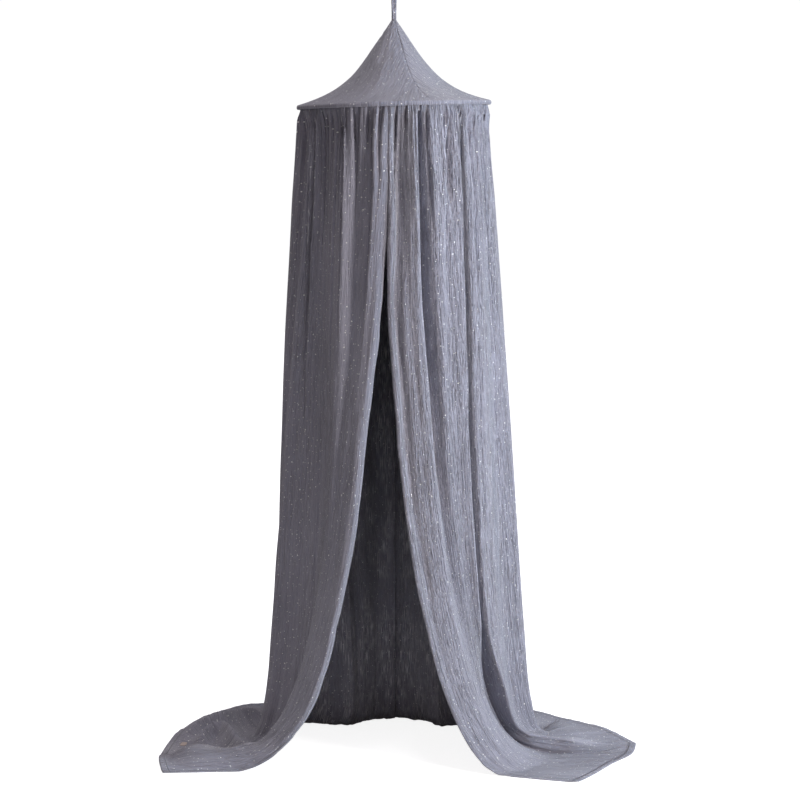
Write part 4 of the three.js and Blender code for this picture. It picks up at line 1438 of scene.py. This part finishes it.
# Places on the frame
for piece in (*skirt, *gores, casing, tape, patch, label):
    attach(piece, "canopy")
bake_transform(loop)
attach(knot, "canopy")
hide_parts("skirt_panel_left")
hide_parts("skirt_panel_right")
for piece, node_name in zip(gores, gore_nodes):
    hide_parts(node_name)
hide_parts("hoop_casing")
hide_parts("heading_tape")
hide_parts("apex_patch")
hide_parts("hanging_loop")
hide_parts("blank_label")


# Floor, backdrop and lights
floor_size = 24
floor_colour = (0.60, 0.60, 0.60, 1)
floor_glow = (0.88, 1.02)
floor_glow_reach = (0.6, 3.0)
room_colour = (1.0, 0.86, 0.89, 1)
room_strength = 0.255
backdrop_strength = 1.02
white = (1, 1, 1, 1)


def pale_floor():
    """A matt pale floor that keeps the canopy's shadow and goes over into the white backdrop."""
    bpy.ops.mesh.primitive_plane_add(size=floor_size, location=(0, 0, floor_z))
    floor = bpy.context.object
    floor.name = "floor"
    material, n, shader = new_material("pale_floor")
    shader.inputs["Base Color"].default_value = floor_colour
    shader.inputs["Roughness"].default_value = 0.9
    shader.inputs["Specular IOR Level"].default_value = 0.1
    shader.inputs["Emission Color"].default_value = white
    distance = n.add("ShaderNodeVectorMath", operation="LENGTH")
    n.link(n.add("ShaderNodeTexCoord").outputs["Object"], distance.inputs[0])
    paleness = n.ramp(distance.outputs["Value"], *floor_glow_reach, *floor_glow)
    glow = n.times(n.add("ShaderNodeLightPath").outputs["Is Camera Ray"], paleness)
    n.link(glow, shader.inputs["Emission Strength"])
    floor.data.materials.append(material)


def studio_world():
    """Soft light from all round, and a white backdrop for the camera."""
    world = bpy.data.worlds.new("studio")
    world.use_nodes = True
    bpy.context.scene.world = world
    n = Nodes(world.node_tree)
    lighting = world.node_tree.nodes["Background"]
    lighting.inputs["Color"].default_value = room_colour
    lighting.inputs["Strength"].default_value = room_strength
    seen = n.add("ShaderNodeBackground")
    seen.inputs["Color"].default_value = white
    seen.inputs["Strength"].default_value = backdrop_strength
    mix = n.add("ShaderNodeMixShader")
    n.link(n.add("ShaderNodeLightPath").outputs["Is Camera Ray"], mix.inputs[0])
    n.link(lighting.outputs[0], mix.inputs[1])
    n.link(seen.outputs[0], mix.inputs[2])
    n.link(mix.outputs[0], world.node_tree.nodes["World Output"].inputs["Surface"])


def soft_light(name, place, target, size, power, colour):
    """A rectangular lamp that faces a target."""
    data = bpy.data.lights.new(name, "AREA")
    data.shape = "RECTANGLE"
    data.size, data.size_y = size
    data.energy = power
    data.color = colour
    lamp = bpy.data.objects.new(name, data)
    lamp.location = place
    lamp.rotation_mode = "QUATERNION"
    lamp.rotation_quaternion = (Vector(target) - Vector(place)).to_track_quat("-Z", "Y")
    bpy.context.scene.collection.objects.link(lamp)


pale_floor()
studio_world()
soft_light("key", (4.0, -3.0, -0.5), (0.1, 0, -1.1), (0.9, 1.2), 240, (1.0, 0.965, 0.94))
soft_light("side", (4.9, -1.6, 0.0), (0.1, 0, -1.1), (1.0, 1.4), 130, (0.35, 0.68, 1.0))
soft_light("overhead", (0.3, -1.5, 7.5), (0, 0, -1.5), (2.0, 2.0), 400, (0.97, 0.98, 1.0))

bpy.context.scene.view_settings.view_transform = "Standard"
